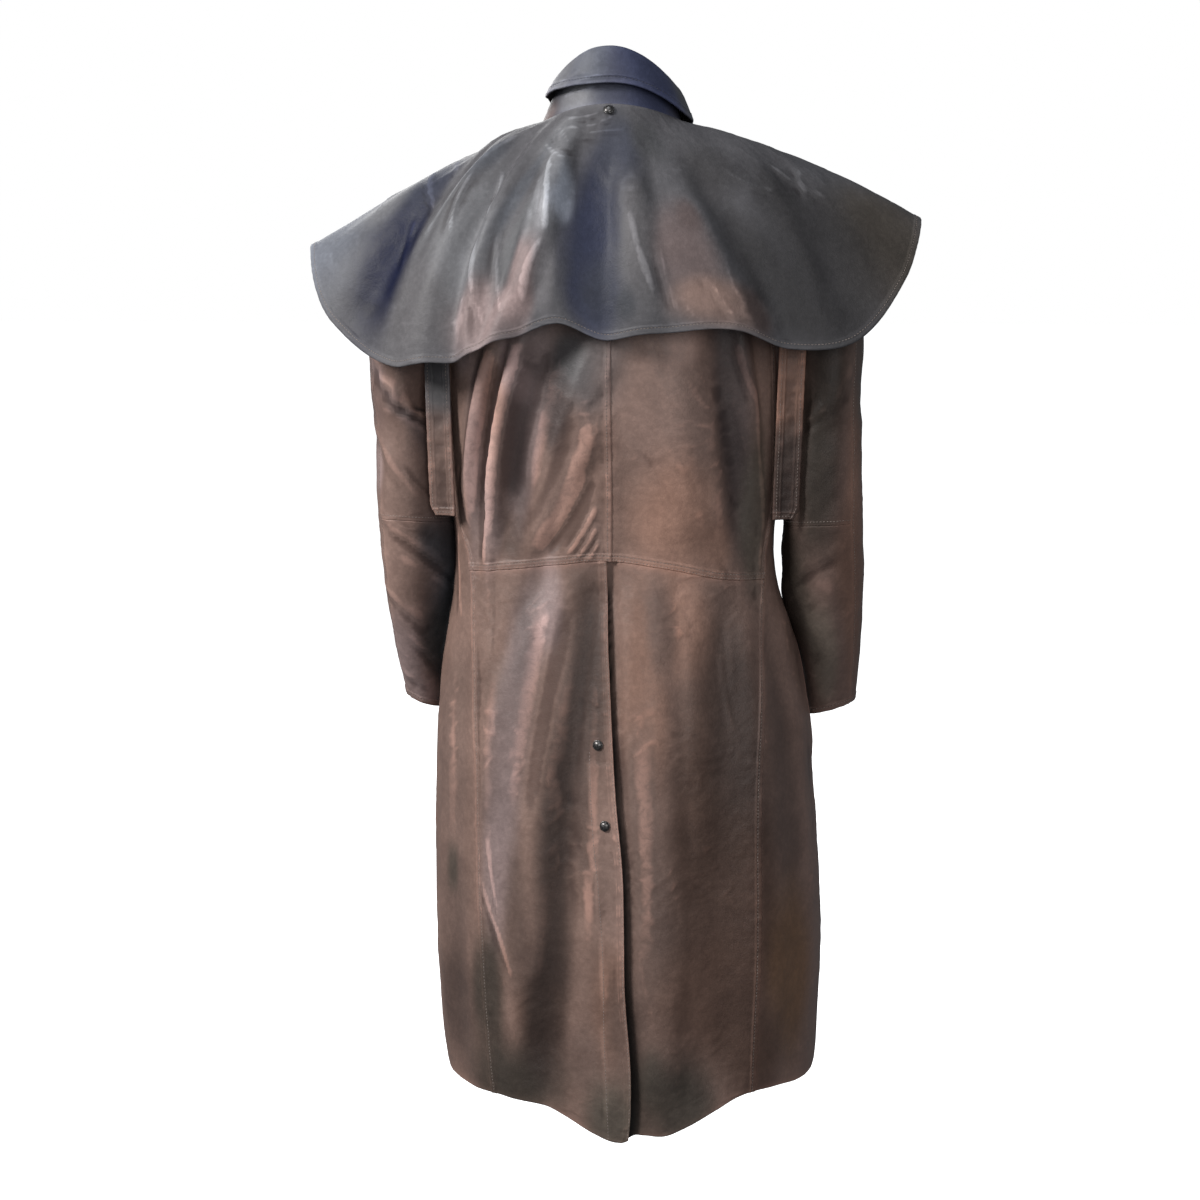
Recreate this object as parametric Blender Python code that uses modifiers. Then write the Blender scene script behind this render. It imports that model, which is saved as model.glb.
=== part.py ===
# Long leather duster coat with a shoulder cape, in the hollow form it keeps when worn.
# Metres, +Z up. The wearer faces -Y, so the back is +Y and the wearer's left is +X.
# The origin is the centre of the neck opening at the height of the back neck seam.
import math

import bmesh
import bpy
from mathutils import Vector

LEATHER = 0.002
DOUBLE_LEATHER = 0.003
SEAM_GAP = 0.0006

# Distances down the back from the neck seam
SHOULDER_TIP = 0.140

# The body by rows down the back. Angles run round it: 0 centre back, 90 wearer's left, 180 centre front.
# down, z_back, z_side, z_front, half_width, depth_back, depth_front, centre_x, power
BODY = (
    (0.000, 0.000, -0.020, -0.078, 0.078, 0.072, 0.080, 0.000, 2.0),
    (0.070, -0.058, -0.054, -0.116, 0.140, 0.098, 0.100, 0.000, 2.1),
    (0.140, -0.124, -0.087, -0.160, 0.201, 0.118, 0.118, 0.000, 2.2),
    (0.230, -0.222, -0.206, -0.230, 0.206, 0.130, 0.132, 0.000, 2.4),
    (0.345, -0.340, -0.338, -0.340, 0.204, 0.132, 0.138, 0.000, 2.4),
    (0.440, -0.436, -0.436, -0.436, 0.199, 0.122, 0.133, 0.000, 2.4),
    (0.530, -0.526, -0.526, -0.526, 0.194, 0.113, 0.128, 0.000, 2.3),
    (0.630, -0.626, -0.626, -0.626, 0.207, 0.127, 0.136, -0.004, 2.3),
    (0.750, -0.746, -0.746, -0.746, 0.225, 0.147, 0.152, -0.008, 2.3),
    (0.980, -0.976, -0.976, -0.976, 0.238, 0.174, 0.165, -0.016, 2.3),
    (1.130, -1.126, -1.126, -1.126, 0.234, 0.186, 0.170, -0.018, 2.3),
    (1.215, -1.211, -1.211, -1.211, 0.228, 0.190, 0.171, -0.021, 2.3),
)

# Edge of the back panel round the body, below the armhole, on the left and the right
# down, left, right
BACK_EDGE = (
    (0.282, 65.5, 65.5),
    (0.400, 72.0, 72.0),
    (0.470, 72.0, 75.0),
    (0.530, 58.5, 69.0),
    (0.620, 53.0, 59.0),
    (0.770, 44.5, 47.5),
    (0.960, 41.8, 42.5),
    (1.215, 38.5, 40.5),
)
FRONT_EDGE = 112.0
ARMHOLE_MIDDLE = 0.242
ARMHOLE_HALF_HEIGHT = 0.103
ARMHOLE_HALF_ANGLE = 27.0

# Largest folds of the body: ridges stand out, valleys sink in
# angle_top, angle_bottom, down_top, down_bottom, width in degrees, depth
BODY_FOLDS = (
    (33.0, 62.0, 0.26, 0.47, 4.0, 0.005),
    (30.0, 48.0, 0.24, 0.48, 3.6, -0.006),
    (22.0, 45.0, 0.24, 0.54, 3.6, 0.007),
    (7.0, 35.0, 0.22, 0.50, 7.0, -0.010),
    (0.0, 24.0, 0.28, 0.50, 4.6, 0.006),
    (1.0, 20.0, 0.40, 0.52, 3.2, -0.005),
    (-31.0, -50.0, 0.22, 0.49, 7.0, -0.008),
    (-42.0, -58.0, 0.24, 0.38, 3.6, 0.004),
    (-52.0, -62.0, 0.24, 0.42, 5.0, -0.005),
    (-13.0, -20.0, 0.24, 0.52, 10.0, 0.005),
    (3.0, 20.0, 0.54, 1.14, 7.0, -0.010),
    (10.0, 28.0, 0.54, 1.17, 6.0, 0.008),
    (20.0, 40.0, 0.53, 0.68, 5.0, -0.004),
    (-11.0, -7.0, 0.54, 1.17, 7.0, 0.008),
    (-38.0, -25.0, 0.58, 1.16, 9.0, -0.008),
    (60.0, 58.0, 0.62, 1.18, 8.0, -0.006),
    (92.0, 94.0, 0.62, 1.18, 12.0, 0.005),
    (-66.0, -62.0, 0.60, 1.18, 9.0, -0.006),
    (-98.0, -94.0, 0.62, 1.18, 12.0, 0.005),
    (130.0, 128.0, 0.56, 1.18, 12.0, 0.007),
    (152.0, 150.0, 0.28, 1.18, 12.0, -0.007),
    (-130.0, -126.0, 0.56, 1.18, 12.0, 0.007),
    (-152.0, -152.0, 0.28, 1.18, 12.0, -0.007),
)

# Waist seam and hem: how far down each lies at an angle round the body
WAIST_SEAM = (
    (-70.0, 0.553),
    (-40.0, 0.547),
    (-17.0, 0.532),
    (0.0, 0.524),
    (14.0, 0.529),
    (30.0, 0.536),
    (50.0, 0.543),
    (70.0, 0.546),
)
HEM_LINE = (
    (-195.0, 1.172),
    (-90.0, 1.174),
    (-68.0, 1.172),
    (-50.0, 1.162),
    (-37.0, 1.162),
    (-27.0, 1.177),
    (-17.0, 1.195),
    (-11.0, 1.204),
    (-4.0, 1.203),
    (0.0, 1.212),
    (5.0, 1.204),
    (13.0, 1.184),
    (19.0, 1.174),
    (31.0, 1.171),
    (60.0, 1.177),
    (90.0, 1.174),
    (195.0, 1.172),
)

# The vent: the left skirt laps over the right one, and the right one runs on beneath it
# down, flap edge past the centre, under lap past the centre, in metres
VENT = (
    (0.524, 0.000, 0.000),
    (0.570, 0.000, 0.012),
    (0.640, 0.000, 0.030),
    (0.800, 0.003, 0.030),
    (0.890, 0.007, 0.030),
    (1.020, 0.007, 0.030),
    (1.120, 0.012, 0.030),
    (1.170, 0.011, 0.030),
    (1.215, 0.007, 0.030),
)
LAP_DEPTH = 0.0034
LAP_END = -173.0
LAP_START = -169.0

# Rows of the panels beside the side seams, which meet them step by step
BODICE_ROWS = 20
SKIRT_ROWS = 16

# Sleeves: the head turns about a point at the underarm, then the arm hangs down
PIVOT_Z = -0.362
ARMHOLE_TUCK = 0.0006
# angle from upright, reach to the outer edge, half depth, share of the armhole's own shape
SLEEVE_HEAD = (
    (4.0, 0.270, 0.070, 0.85),
    (10.0, 0.252, 0.074, 0.55),
    (19.0, 0.215, 0.078, 0.20),
    (31.0, 0.165, 0.080, 0.00),
    (50.0, 0.114, 0.080, 0.00),
    (72.0, 0.090, 0.079, 0.00),
)
# z_outer, z_inner, inner edge left, outer edge left, inner right, outer right, centre_y, half depth
SLEEVE_ARM = (
    (-0.372, -0.378, 0.2095, 0.290, 0.2095, 0.296, 0.000, 0.076),
    (-0.430, -0.434, 0.2070, 0.290, 0.2070, 0.298, 0.000, 0.074),
    (-0.485, -0.490, 0.2040, 0.290, 0.2040, 0.300, -0.004, 0.072),
    (-0.540, -0.546, 0.2030, 0.289, 0.2040, 0.303, -0.014, 0.069),
    (-0.590, -0.598, 0.2120, 0.287, 0.2120, 0.303, -0.030, 0.066),
    (-0.650, -0.662, 0.2240, 0.283, 0.2300, 0.302, -0.055, 0.062),
    (-0.706, -0.724, 0.2260, 0.278, 0.2360, 0.300, -0.080, 0.058),
    (-0.722, -0.742, 0.2260, 0.275, 0.2370, 0.299, -0.086, 0.057),
)
ELBOW_ROW = 8
HIND_SEAM = 48.0
FORE_SEAM = -132.0

# Collar rings: z_back, z_side, z_front, half_width, depth_back, depth_front
COLLAR_STAND = (
    (0.0006, -0.0184, -0.0760, 0.0782, 0.0725, 0.0798),
    (0.0210, -0.0030, -0.0680, 0.0745, 0.0690, 0.0775),
    (0.0430, 0.0120, -0.0600, 0.0715, 0.0670, 0.0760),
    (0.0610, 0.0190, -0.0510, 0.0675, 0.0630, 0.0740),
)
COLLAR_FALL = (
    (0.0635, 0.0215, -0.0480, 0.0670, 0.0625, 0.0745),
    (0.0665, 0.0245, -0.0450, 0.0715, 0.0665, 0.0790),
    (0.0640, 0.0215, -0.0480, 0.0765, 0.0715, 0.0840),
    (0.0500, 0.0100, -0.0600, 0.0830, 0.0760, 0.0930),
    (0.0370, -0.0020, -0.0760, 0.0880, 0.0785, 0.1040),
    (0.0250, -0.0130, -0.0950, 0.0915, 0.0800, 0.1150),
)
COLLAR_FRONT_ANGLE = 172.0
FALL_FRONT_ANGLE = 163.0

# The cape by rows round the wearer, each with its hem and its middle
# angle, hem x, hem y, hem z, middle x, middle y, middle z
CAPE = (
    (-164.0, -0.046, -0.186, -0.262, -0.032, -0.150, -0.160),
    (-140.0, -0.150, -0.176, -0.272, -0.092, -0.132, -0.135),
    (-122.0, -0.250, -0.140, -0.240, -0.150, -0.100, -0.104),
    (-104.0, -0.335, -0.086, -0.180, -0.205, -0.050, -0.070),
    (-90.0, -0.361, -0.014, -0.126, -0.222, -0.008, -0.058),
    (-76.0, -0.342, 0.060, -0.192, -0.210, 0.050, -0.071),
    (-60.0, -0.288, 0.106, -0.262, -0.182, 0.089, -0.103),
    (-45.0, -0.213, 0.130, -0.270, -0.146, 0.112, -0.124),
    (-30.0, -0.150, 0.150, -0.252, -0.103, 0.125, -0.132),
    (-15.0, -0.075, 0.160, -0.254, -0.052, 0.135, -0.130),
    (0.0, -0.006, 0.161, -0.260, 0.000, 0.138, -0.130),
    (15.0, 0.052, 0.161, -0.243, 0.050, 0.137, -0.130),
    (30.0, 0.108, 0.158, -0.263, 0.100, 0.128, -0.130),
    (45.0, 0.176, 0.144, -0.286, 0.142, 0.112, -0.124),
    (60.0, 0.252, 0.114, -0.294, 0.180, 0.091, -0.110),
    (76.0, 0.331, 0.060, -0.246, 0.208, 0.052, -0.084),
    (90.0, 0.371, -0.010, -0.158, 0.222, -0.006, -0.075),
    (104.0, 0.342, -0.080, -0.214, 0.205, -0.050, -0.087),
    (122.0, 0.262, -0.138, -0.254, 0.152, -0.100, -0.110),
    (140.0, 0.152, -0.176, -0.272, 0.092, -0.132, -0.135),
    (164.0, 0.046, -0.186, -0.262, 0.032, -0.150, -0.160),
)
CAPE_NECK_OUT = 0.0029
CAPE_NECK_UP = 0.0055

# Radial folds of the cape: angle_neck, angle_hem, bend of its line, start, end, width in degrees, depth
CAPE_FOLDS = (
    (22.0, 37.0, 3.0, 0.16, 1.10, 4.5, 0.009),
    (17.0, 5.0, 0.5, 0.26, 1.10, 8.0, -0.011),
    (-12.0, -7.0, 1.0, 0.20, 1.10, 6.0, 0.007),
    (-30.0, -24.0, 1.0, 0.35, 1.10, 8.0, 0.006),
    (84.0, 69.0, 1.0, 0.20, 1.00, 6.5, -0.010),
    (66.0, 52.0, 0.7, 0.20, 1.10, 5.0, 0.008),
    (48.0, 45.0, 1.0, 0.15, 1.10, 3.6, -0.007),
    (40.0, 41.0, 1.0, 0.25, 1.10, 3.2, 0.004),
    (76.0, 80.0, 1.0, 0.50, 1.10, 5.0, 0.005),
    (-82.0, -60.0, 1.0, 0.40, 0.95, 5.0, -0.005),
    (-44.0, -48.0, 1.0, 0.25, 1.10, 9.0, -0.005),
    (104.0, 108.0, 1.0, 0.20, 1.05, 8.0, -0.008),
    (-104.0, -108.0, 1.0, 0.20, 1.05, 8.0, -0.008),
    (126.0, 128.0, 1.0, 0.25, 1.10, 7.0, 0.007),
    (-126.0, -128.0, 1.0, 0.25, 1.10, 7.0, 0.007),
)

# Straps that hang from under the cape: hand, top x, top y, bottom x, bottom y
STRAPS = (
    ("left", 0.205, 0.0786, 0.200, 0.0706),
    ("right", -0.214, 0.0809, -0.207, 0.0709),
)
STRAP_WIDTH = 0.031
STRAP_TOP_Z = -0.215
STRAP_BOTTOM_Z = -0.474

SNAP_RADIUS = 0.0062
SNAP_HEIGHT = 0.0030
SNAP_CLEARANCE = 0.0018
FRONT_SNAP_CLEARANCE = 0.0007
NECK_SNAP_CLEARANCE = 0.0011
VENT_SNAPS = (("vent_snap_upper", 0.0098, 0.738), ("vent_snap_lower", 0.0052, 0.831))
FRONT_SNAPS = 5
FRONT_COLUMNS = 9
FRONT_ROWS = 20
FRONT_LAP_OVER = 186.0


def clear_scene():
    for obj in list(bpy.data.objects):
        bpy.data.objects.remove(obj, do_unlink=True)


def from_table(table, at):
    """Smooth values of a table's columns at a place along its first column."""
    last = len(table) - 1
    k = 0
    while k < last - 1 and at > table[k + 1][0]:
        k += 1
    a, b = table[k], table[k + 1]
    before = table[max(k - 1, 0)]
    after = table[min(k + 2, last)]
    span = b[0] - a[0]
    t = min(max((at - a[0]) / span, 0.0), 1.0)
    values = []
    for column in range(1, len(a)):
        slope_a = (b[column] - before[column]) / (b[0] - before[0]) * span
        slope_b = (after[column] - a[column]) / (after[0] - a[0]) * span
        h = (2 * t ** 3 - 3 * t ** 2 + 1) * a[column] + (t ** 3 - 2 * t ** 2 + t) * slope_a
        h += (3 * t ** 2 - 2 * t ** 3) * b[column] + (t ** 3 - t ** 2) * slope_b
        values.append(h)
    return values


def ring_point(angle, z_back, z_side, z_front, half_width, depth_back, depth_front, centre_x, power):
    """A point of a ring whose height changes from back to side to front."""
    turn = math.radians(angle)
    s, c = math.sin(turn), math.cos(turn)
    depth, z_end = (depth_back, z_back) if c >= 0 else (depth_front, z_front)
    x = centre_x + half_width * math.copysign(abs(s) ** (2 / power), s)
    y = depth * math.copysign(abs(c) ** (2 / power), c)
    return Vector((x, y, z_side + (z_end - z_side) * c * c))


def bump(distance, width):
    """One at the middle of a fold, falling smoothly to nothing."""
    t = abs(distance) / (1.6 * width)
    return (1 - t * t) ** 2 if t < 1 else 0.0


def fade(at, start, end, edge):
    """One between start and end, and smoothly nothing beyond them."""
    rise = min(max((at - start) / edge + 0.5, 0.0), 1.0)
    fall = min(max((end - at) / edge + 0.5, 0.0), 1.0)
    return (rise * rise * (3 - 2 * rise)) * (fall * fall * (3 - 2 * fall))


def angle_between(a, b):
    return (a - b + 180.0) % 360.0 - 180.0


def body_folds(angle, down):
    height = 0.0
    for top, bottom, start, end, width, depth in BODY_FOLDS:
        along = min(max((down - start) / (end - start), 0.0), 1.0)
        centre = top + (bottom - top) * along
        height += depth * bump(angle_between(angle, centre), width) * fade(down, start, end, 0.09)
    return height


def body_point(angle, down, out=0.0):
    """A point of the coat's outer surface, moved outwards by out."""
    row = from_table(BODY, down)
    point = ring_point(angle, *row)
    step = ring_point(angle + 1.5, *row) - ring_point(angle - 1.5, *row)
    outward = Vector((step.y, -step.x, 0.0)) * -1.0
    if outward.length < 1e-9:
        outward = Vector((math.sin(math.radians(angle)), math.cos(math.radians(angle)), 0.0))
    outward.normalize()
    if outward.dot(Vector((point.x - row[6], point.y, 0.0))) < 0:
        outward = outward * -1.0
    return point + outward * (body_folds(angle, down) + out)


def lerp(a, b, t):
    return a + (b - a) * t


def back_edge(side, down):
    """Angle where the back panel ends: the shoulder seam, the armhole, then the side seam."""
    if down <= SHOULDER_TIP:
        return 90.0
    if down <= BACK_EDGE[0][0]:
        reach = (down - ARMHOLE_MIDDLE) / ARMHOLE_HALF_HEIGHT
        return 90.0 - ARMHOLE_HALF_ANGLE * math.sqrt(max(1.0 - reach * reach, 0.0))
    return from_table(BACK_EDGE, down)[0 if side > 0 else 1]


def front_edge(down):
    """Angle where the front panel begins, mirrored across the armhole."""
    if down <= SHOULDER_TIP:
        return 90.0
    start = BACK_EDGE[0][0]
    reach = (min(down, start) - ARMHOLE_MIDDLE) / ARMHOLE_HALF_HEIGHT
    armhole = 90.0 + ARMHOLE_HALF_ANGLE * math.sqrt(max(1.0 - reach * reach, 0.0))
    if down <= start:
        return armhole
    return lerp(armhole, FRONT_EDGE, min((down - start) / 0.1, 1.0))


def constant(value):
    return lambda down: value


def degrees_of(length, down):
    """The angle that a length takes up near the centre of the back or front."""
    return math.degrees(length / from_table(BODY, down)[3])


def wall(name, colour, rows, columns, place, thickness=LEATHER, inward=True, roughness=0.5):
    """A leather wall: a grid laid on place(across, along), thickened, as one named object."""
    mesh = bpy.data.meshes.new(name)
    form = bmesh.new()
    bmesh.ops.create_grid(form, x_segments=columns, y_segments=rows, size=0.5)
    for vertex in form.verts:
        vertex.co = place(vertex.co.x + 0.5, vertex.co.y + 0.5)
    bmesh.ops.recalc_face_normals(form, faces=form.faces)
    form.to_mesh(mesh)
    form.free()
    obj = bpy.data.objects.new(name, mesh)
    coat.objects.link(obj)
    paint(obj, colour, roughness, 0.0)
    middle = place(0.5, 0.5)
    facing = min(mesh.polygons, key=lambda face: (face.center - middle).length)
    outward = place.outward if hasattr(place, "outward") else Vector((middle.x, middle.y, 0.0))
    if facing.normal.dot(outward) < 0:
        mesh.flip_normals()
    solid = obj.modifiers.new("Leather", "SOLIDIFY")
    solid.thickness = thickness
    solid.offset = -1.0 if inward else 1.0
    solid.use_rim = True
    for polygon in mesh.polygons:
        polygon.use_smooth = True
    return obj


def paint(obj, colour, roughness, metallic):
    material = bpy.data.materials.new(obj.name + "_material")
    material.use_nodes = True
    shader = material.node_tree.nodes["Principled BSDF"]
    shader.inputs["Base Color"].default_value = (*colour, 1.0)
    shader.inputs["Roughness"].default_value = roughness
    shader.inputs["Metallic"].default_value = metallic
    obj.data.materials.append(material)


BROWN = (0.155, 0.095, 0.075)
DARK_BROWN = (0.110, 0.070, 0.058)
CAPE_GREY = (0.085, 0.080, 0.082)
GUNMETAL = (0.060, 0.055, 0.052)


def panel(name, stops, top, bottom, rows, shift=None, colour=BROWN):
    """A body panel. Its stops are (column, angle by down the coat), and its ends are given by the angle."""

    def angle_at(across, down):
        gap = math.degrees(SEAM_GAP / 2 / from_table(BODY, down)[4])
        column = across * stops[-1][0]
        k = 0
        while k < len(stops) - 2 and column > stops[k + 1][0]:
            k += 1
        share = (column - stops[k][0]) / (stops[k + 1][0] - stops[k][0])
        angle = lerp(stops[k][1](down), stops[k + 1][1](down), share)
        return angle + gap * (1 - 2 * across)

    def place(across, along):
        down = lerp(top(0.0), bottom(0.0), along)
        for _ in range(3):
            angle = angle_at(across, down)
            down = lerp(top(angle), bottom(angle), along)
        return body_point(angle, down, shift(angle, down) if shift else 0.0)

    return wall(name, colour, rows, stops[-1][0], place)


def flap_edge(down):
    return -degrees_of(from_table(VENT, down)[0], down)


def under_edge(down):
    return degrees_of(from_table(VENT, down)[1], down)


def smooth_step(t):
    t = min(max(t, 0.0), 1.0)
    return t * t * (3 - 2 * t)


def under_lap(angle, down):
    """How far the right skirt sinks to pass beneath the vent flap."""
    return -LAP_DEPTH * smooth_step((angle - flap_edge(down) + 3.5) / 2.6)


def front_lap(angle, down):
    """How far the right front sinks to pass beneath the left one."""
    return -LAP_DEPTH * (1.0 - smooth_step((angle - LAP_END) / (LAP_START - LAP_END)))


def waist_seam(angle):
    return from_table(WAIST_SEAM, angle)[0]


def hem_line(angle):
    return from_table(HEM_LINE, angle)[0]


def build_body():
    half = SEAM_GAP / 2

    def neck(angle):
        return 0.0

    def above_waist(angle):
        return waist_seam(angle) - half

    def below_waist(angle):
        return waist_seam(angle) + half

    def left_edge(down):
        return back_edge(1, down)

    def right_edge(down):
        return -back_edge(-1, down)

    def right_front_edge(down):
        return -front_edge(down)

    def beside_flap(down):
        return flap_edge(down) - 3.5

    def under_flap(down):
        return flap_edge(down) - 0.9

    left_stops = ((0, constant(0.0)), (12, left_edge))
    right_stops = ((0, right_edge), (12, constant(0.0)))
    flap_stops = ((0, flap_edge), (10, left_edge))
    lap_stops = ((0, right_edge), (10, beside_flap), (11, under_flap), (14, under_edge))
    panel("back_left", left_stops, neck, above_waist, BODICE_ROWS)
    panel("back_right", right_stops, neck, above_waist, BODICE_ROWS)
    panel("back_skirt_left", flap_stops, below_waist, hem_line, SKIRT_ROWS)
    panel("back_skirt_right", lap_stops, below_waist, hem_line, SKIRT_ROWS, under_lap)
    left_front = ((0, front_edge), (FRONT_COLUMNS, constant(FRONT_LAP_OVER)))
    right_front = (
        (0, constant(-190.0)),
        (2, constant(LAP_END)),
        (3, constant(LAP_START)),
        (10, right_front_edge),
    )
    panel("front_left", left_front, neck, hem_line, FRONT_ROWS)
    panel("front_right", right_front, neck, hem_line, FRONT_ROWS, front_lap)
    for side, name in ((1, "side_panel_left"), (-1, "side_panel_right")):
        build_side_panel(side, name)


def side_steps(side):
    """Places down the side seam, the same as the rows of the back panels beside it."""
    start = BACK_EDGE[0][0]
    edge = side * back_edge(side, 0.545)
    waist = waist_seam(edge)
    hem = hem_line(side * back_edge(side, 1.17))
    bodice = [waist * k / BODICE_ROWS for k in range(BODICE_ROWS + 1)]
    skirt = [lerp(waist, hem, k / SKIRT_ROWS) for k in range(1, SKIRT_ROWS + 1)]
    return [start] + [step for step in bodice if step > start + 0.004] + skirt


def build_side_panel(side, name):
    steps = side_steps(side)
    start, end = steps[0], steps[-1]
    rows = len(steps) - 1

    def place(across, along):
        k = min(max(int(along * rows), 0), rows - 1)
        down = lerp(steps[k], steps[k + 1], along * rows - k)
        angle_top = lerp(back_edge(side, start), front_edge(start), across)
        reach = (angle_top - 90.0) / ARMHOLE_HALF_ANGLE
        top = ARMHOLE_MIDDLE + ARMHOLE_HALF_HEIGHT * math.sqrt(max(1.0 - reach * reach, 0.0))
        gap = math.degrees(SEAM_GAP / from_table(BODY, down)[4])
        angle = lerp(back_edge(side, down) + gap, front_edge(down) - gap, across)
        share = (down - start) / (end - start)
        down = lerp(top + SEAM_GAP, hem_line(side * angle), share)
        return body_point(side * angle, down)

    wall(name, DARK_BROWN, rows, 7, place)


def armhole_point(side, turn):
    """The armhole's edge: turn 0 is the shoulder tip, 90 the back, 180 the underarm, 270 the front."""
    spin = math.radians(turn)
    down = ARMHOLE_MIDDLE - ARMHOLE_HALF_HEIGHT * math.cos(spin)
    angle = 90.0 - ARMHOLE_HALF_ANGLE * math.sin(spin)
    return body_point(side * angle, down)


def sleeve_ring(side, row, turn):
    """A point of one ring of the sleeve, by row down the arm."""
    spin = math.radians(turn)
    c, s = math.cos(spin), math.sin(spin)
    round_c = math.copysign(abs(c) ** 0.9, c)
    round_s = math.copysign(abs(s) ** 0.9, s)
    inner, outer = (2, 3) if side > 0 else (4, 5)
    if row < len(SLEEVE_HEAD):
        lean, reach, half_depth, share = SLEEVE_HEAD[row]
        tilt = math.radians(lean)
        near = 0.004 + 0.022 * (1 - lean / 90.0)
        along = lerp(near, reach, (1 + round_c) / 2)
        pivot_x = SLEEVE_ARM[0][inner] - 0.003
        x = pivot_x + along * math.sin(tilt) + 0.0015
        point = Vector((side * x, half_depth * round_s, PIVOT_Z + along * math.cos(tilt)))
        edge = armhole_point(side, turn)
        edge.x += side * (0.010 * (lean - 4.0) / 6.0 - ARMHOLE_TUCK)
        return point.lerp(edge, share)
    z_out, z_in, *edges, centre_y, half_depth = SLEEVE_ARM[row - len(SLEEVE_HEAD)]
    low, high = edges[inner - 2], edges[outer - 2]
    x = lerp(low, high, (1 + round_c) / 2)
    z = lerp(z_in, z_out, (1 + round_c) / 2) + 0.006 * round_s
    return Vector((side * x, centre_y + half_depth * round_s, z))


def sleeve_point(side, place_down, turn):
    """A point of the sleeve, smooth between its rings."""
    last = len(SLEEVE_HEAD) + len(SLEEVE_ARM) - 1
    k = min(int(place_down), last - 1)
    t = place_down - k
    before, a, b, after = [
        sleeve_ring(side, min(max(k + step, 0), last), turn) for step in (-1, 0, 1, 2)
    ]
    slope_a = (b - before) * 0.5
    slope_b = (after - a) * 0.5
    point = a * (2 * t ** 3 - 3 * t ** 2 + 1) + slope_a * (t ** 3 - 2 * t ** 2 + t)
    return point + b * (3 * t ** 2 - 2 * t ** 3) + slope_b * (t ** 3 - t ** 2)


def build_sleeve(side, hand):
    last = len(SLEEVE_HEAD) + len(SLEEVE_ARM) - 1
    pieces = (
        ("sleeve_upper_" + hand, FORE_SEAM, HIND_SEAM, 0.0, last, 20, 10),
        ("sleeve_under_top_" + hand, HIND_SEAM, FORE_SEAM + 360.0, 0.0, ELBOW_ROW - 0.006, 13, 10),
        ("sleeve_under_low_" + hand, HIND_SEAM, FORE_SEAM + 360.0, ELBOW_ROW + 0.006, last, 8, 10),
    )
    for name, first, final, top, bottom, rows, columns in pieces:

        def place(across, along):
            turn = lerp(first + 0.8, final - 0.8, across)
            return sleeve_point(side, lerp(top, bottom, along), turn)

        centre = sleeve_point(side, (top + bottom) / 2, (first + final) / 2)
        middle = (
            sleeve_point(side, (top + bottom) / 2, 0.0) + sleeve_point(side, (top + bottom) / 2, 180.0)
        ) / 2
        place.outward = centre - middle
        wall(name, DARK_BROWN, rows, columns, place)


def collar_point(table, angle, along):
    place = along * (len(table) - 1)
    numbered = [(k, *row, 0.0, 2.1) for k, row in enumerate(table)]
    return ring_point(angle, *from_table(numbered, place))


def build_collar():
    for name, table, front, rows, columns in (
        ("collar_stand", COLLAR_STAND, COLLAR_FRONT_ANGLE, 5, 30),
        ("collar_fall", COLLAR_FALL, FALL_FRONT_ANGLE, 7, 30),
    ):

        def place(across, along):
            reach = front - 14.0 * along if name == "collar_fall" else front
            return collar_point(table, lerp(-reach, reach, across), along)

        place.outward = Vector((0.0, 1.0, 0.3))
        wall(name, DARK_BROWN, rows, columns, place, DOUBLE_LEATHER)


def cape_folds(angle, along):
    height = 0.0
    for neck, hem, bend, start, end, width, depth in CAPE_FOLDS:
        centre = neck + (hem - neck) * max(along, 0.0) ** bend
        height += depth * bump(angle - centre, width) * fade(along, start, end, 0.3)
    return height


def cape_point(angle, along):
    """A point of the cape's outer surface, from the neck seam to its hem."""
    hem_x, hem_y, hem_z, mid_x, mid_y, mid_z = from_table(CAPE, angle)
    neck = body_point(angle, 0.004, CAPE_NECK_OUT)
    neck.z += CAPE_NECK_UP
    hem = Vector((hem_x, hem_y, hem_z))
    mid = Vector((mid_x, mid_y, mid_z))
    t = along
    point = neck * ((1 - t) * (1 - 2 * t)) + mid * (4 * t * (1 - t)) + hem * (t * (2 * t - 1))
    turn = math.radians(angle)
    outward = Vector((math.sin(turn) * 0.7, math.cos(turn) * 0.9, 0.45)).normalized()
    return point + outward * cape_folds(angle, along)


def build_cape():
    first, last = CAPE[0][0], CAPE[-1][0]

    def place(across, along):
        return cape_point(lerp(first, last, across), along)

    place.outward = Vector((0.0, 1.0, 0.2))
    wall("cape", CAPE_GREY, 10, 56, place, roughness=0.42)


def strap_point(side, top_x, top_y, bottom_x, bottom_y, across, along):
    """A point of a back strap, a narrow band with its lower outer corner rounded."""
    z = lerp(STRAP_TOP_Z, STRAP_BOTTOM_Z, along)
    outer = side * (across - 0.5) * 2
    corner = max(0.0, 1.0 - (z - STRAP_BOTTOM_Z) / 0.012) * max(outer, 0.0)
    x = lerp(top_x, bottom_x, along) + STRAP_WIDTH * (across - 0.5) - side * 0.007 * corner
    y = lerp(top_y, bottom_y, along) - 0.004 * outer + 0.003 * math.sin(math.pi * along)
    return Vector((x, y, z))


def build_straps():
    for hand, top_x, top_y, bottom_x, bottom_y in STRAPS:
        side = 1 if hand == "left" else -1

        def place(across, along):
            return strap_point(side, top_x, top_y, bottom_x, bottom_y, across, along)

        place.outward = Vector((0.0, 1.0, 0.0))
        wall("back_strap_" + hand, BROWN, 14, 4, place, DOUBLE_LEATHER)


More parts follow.
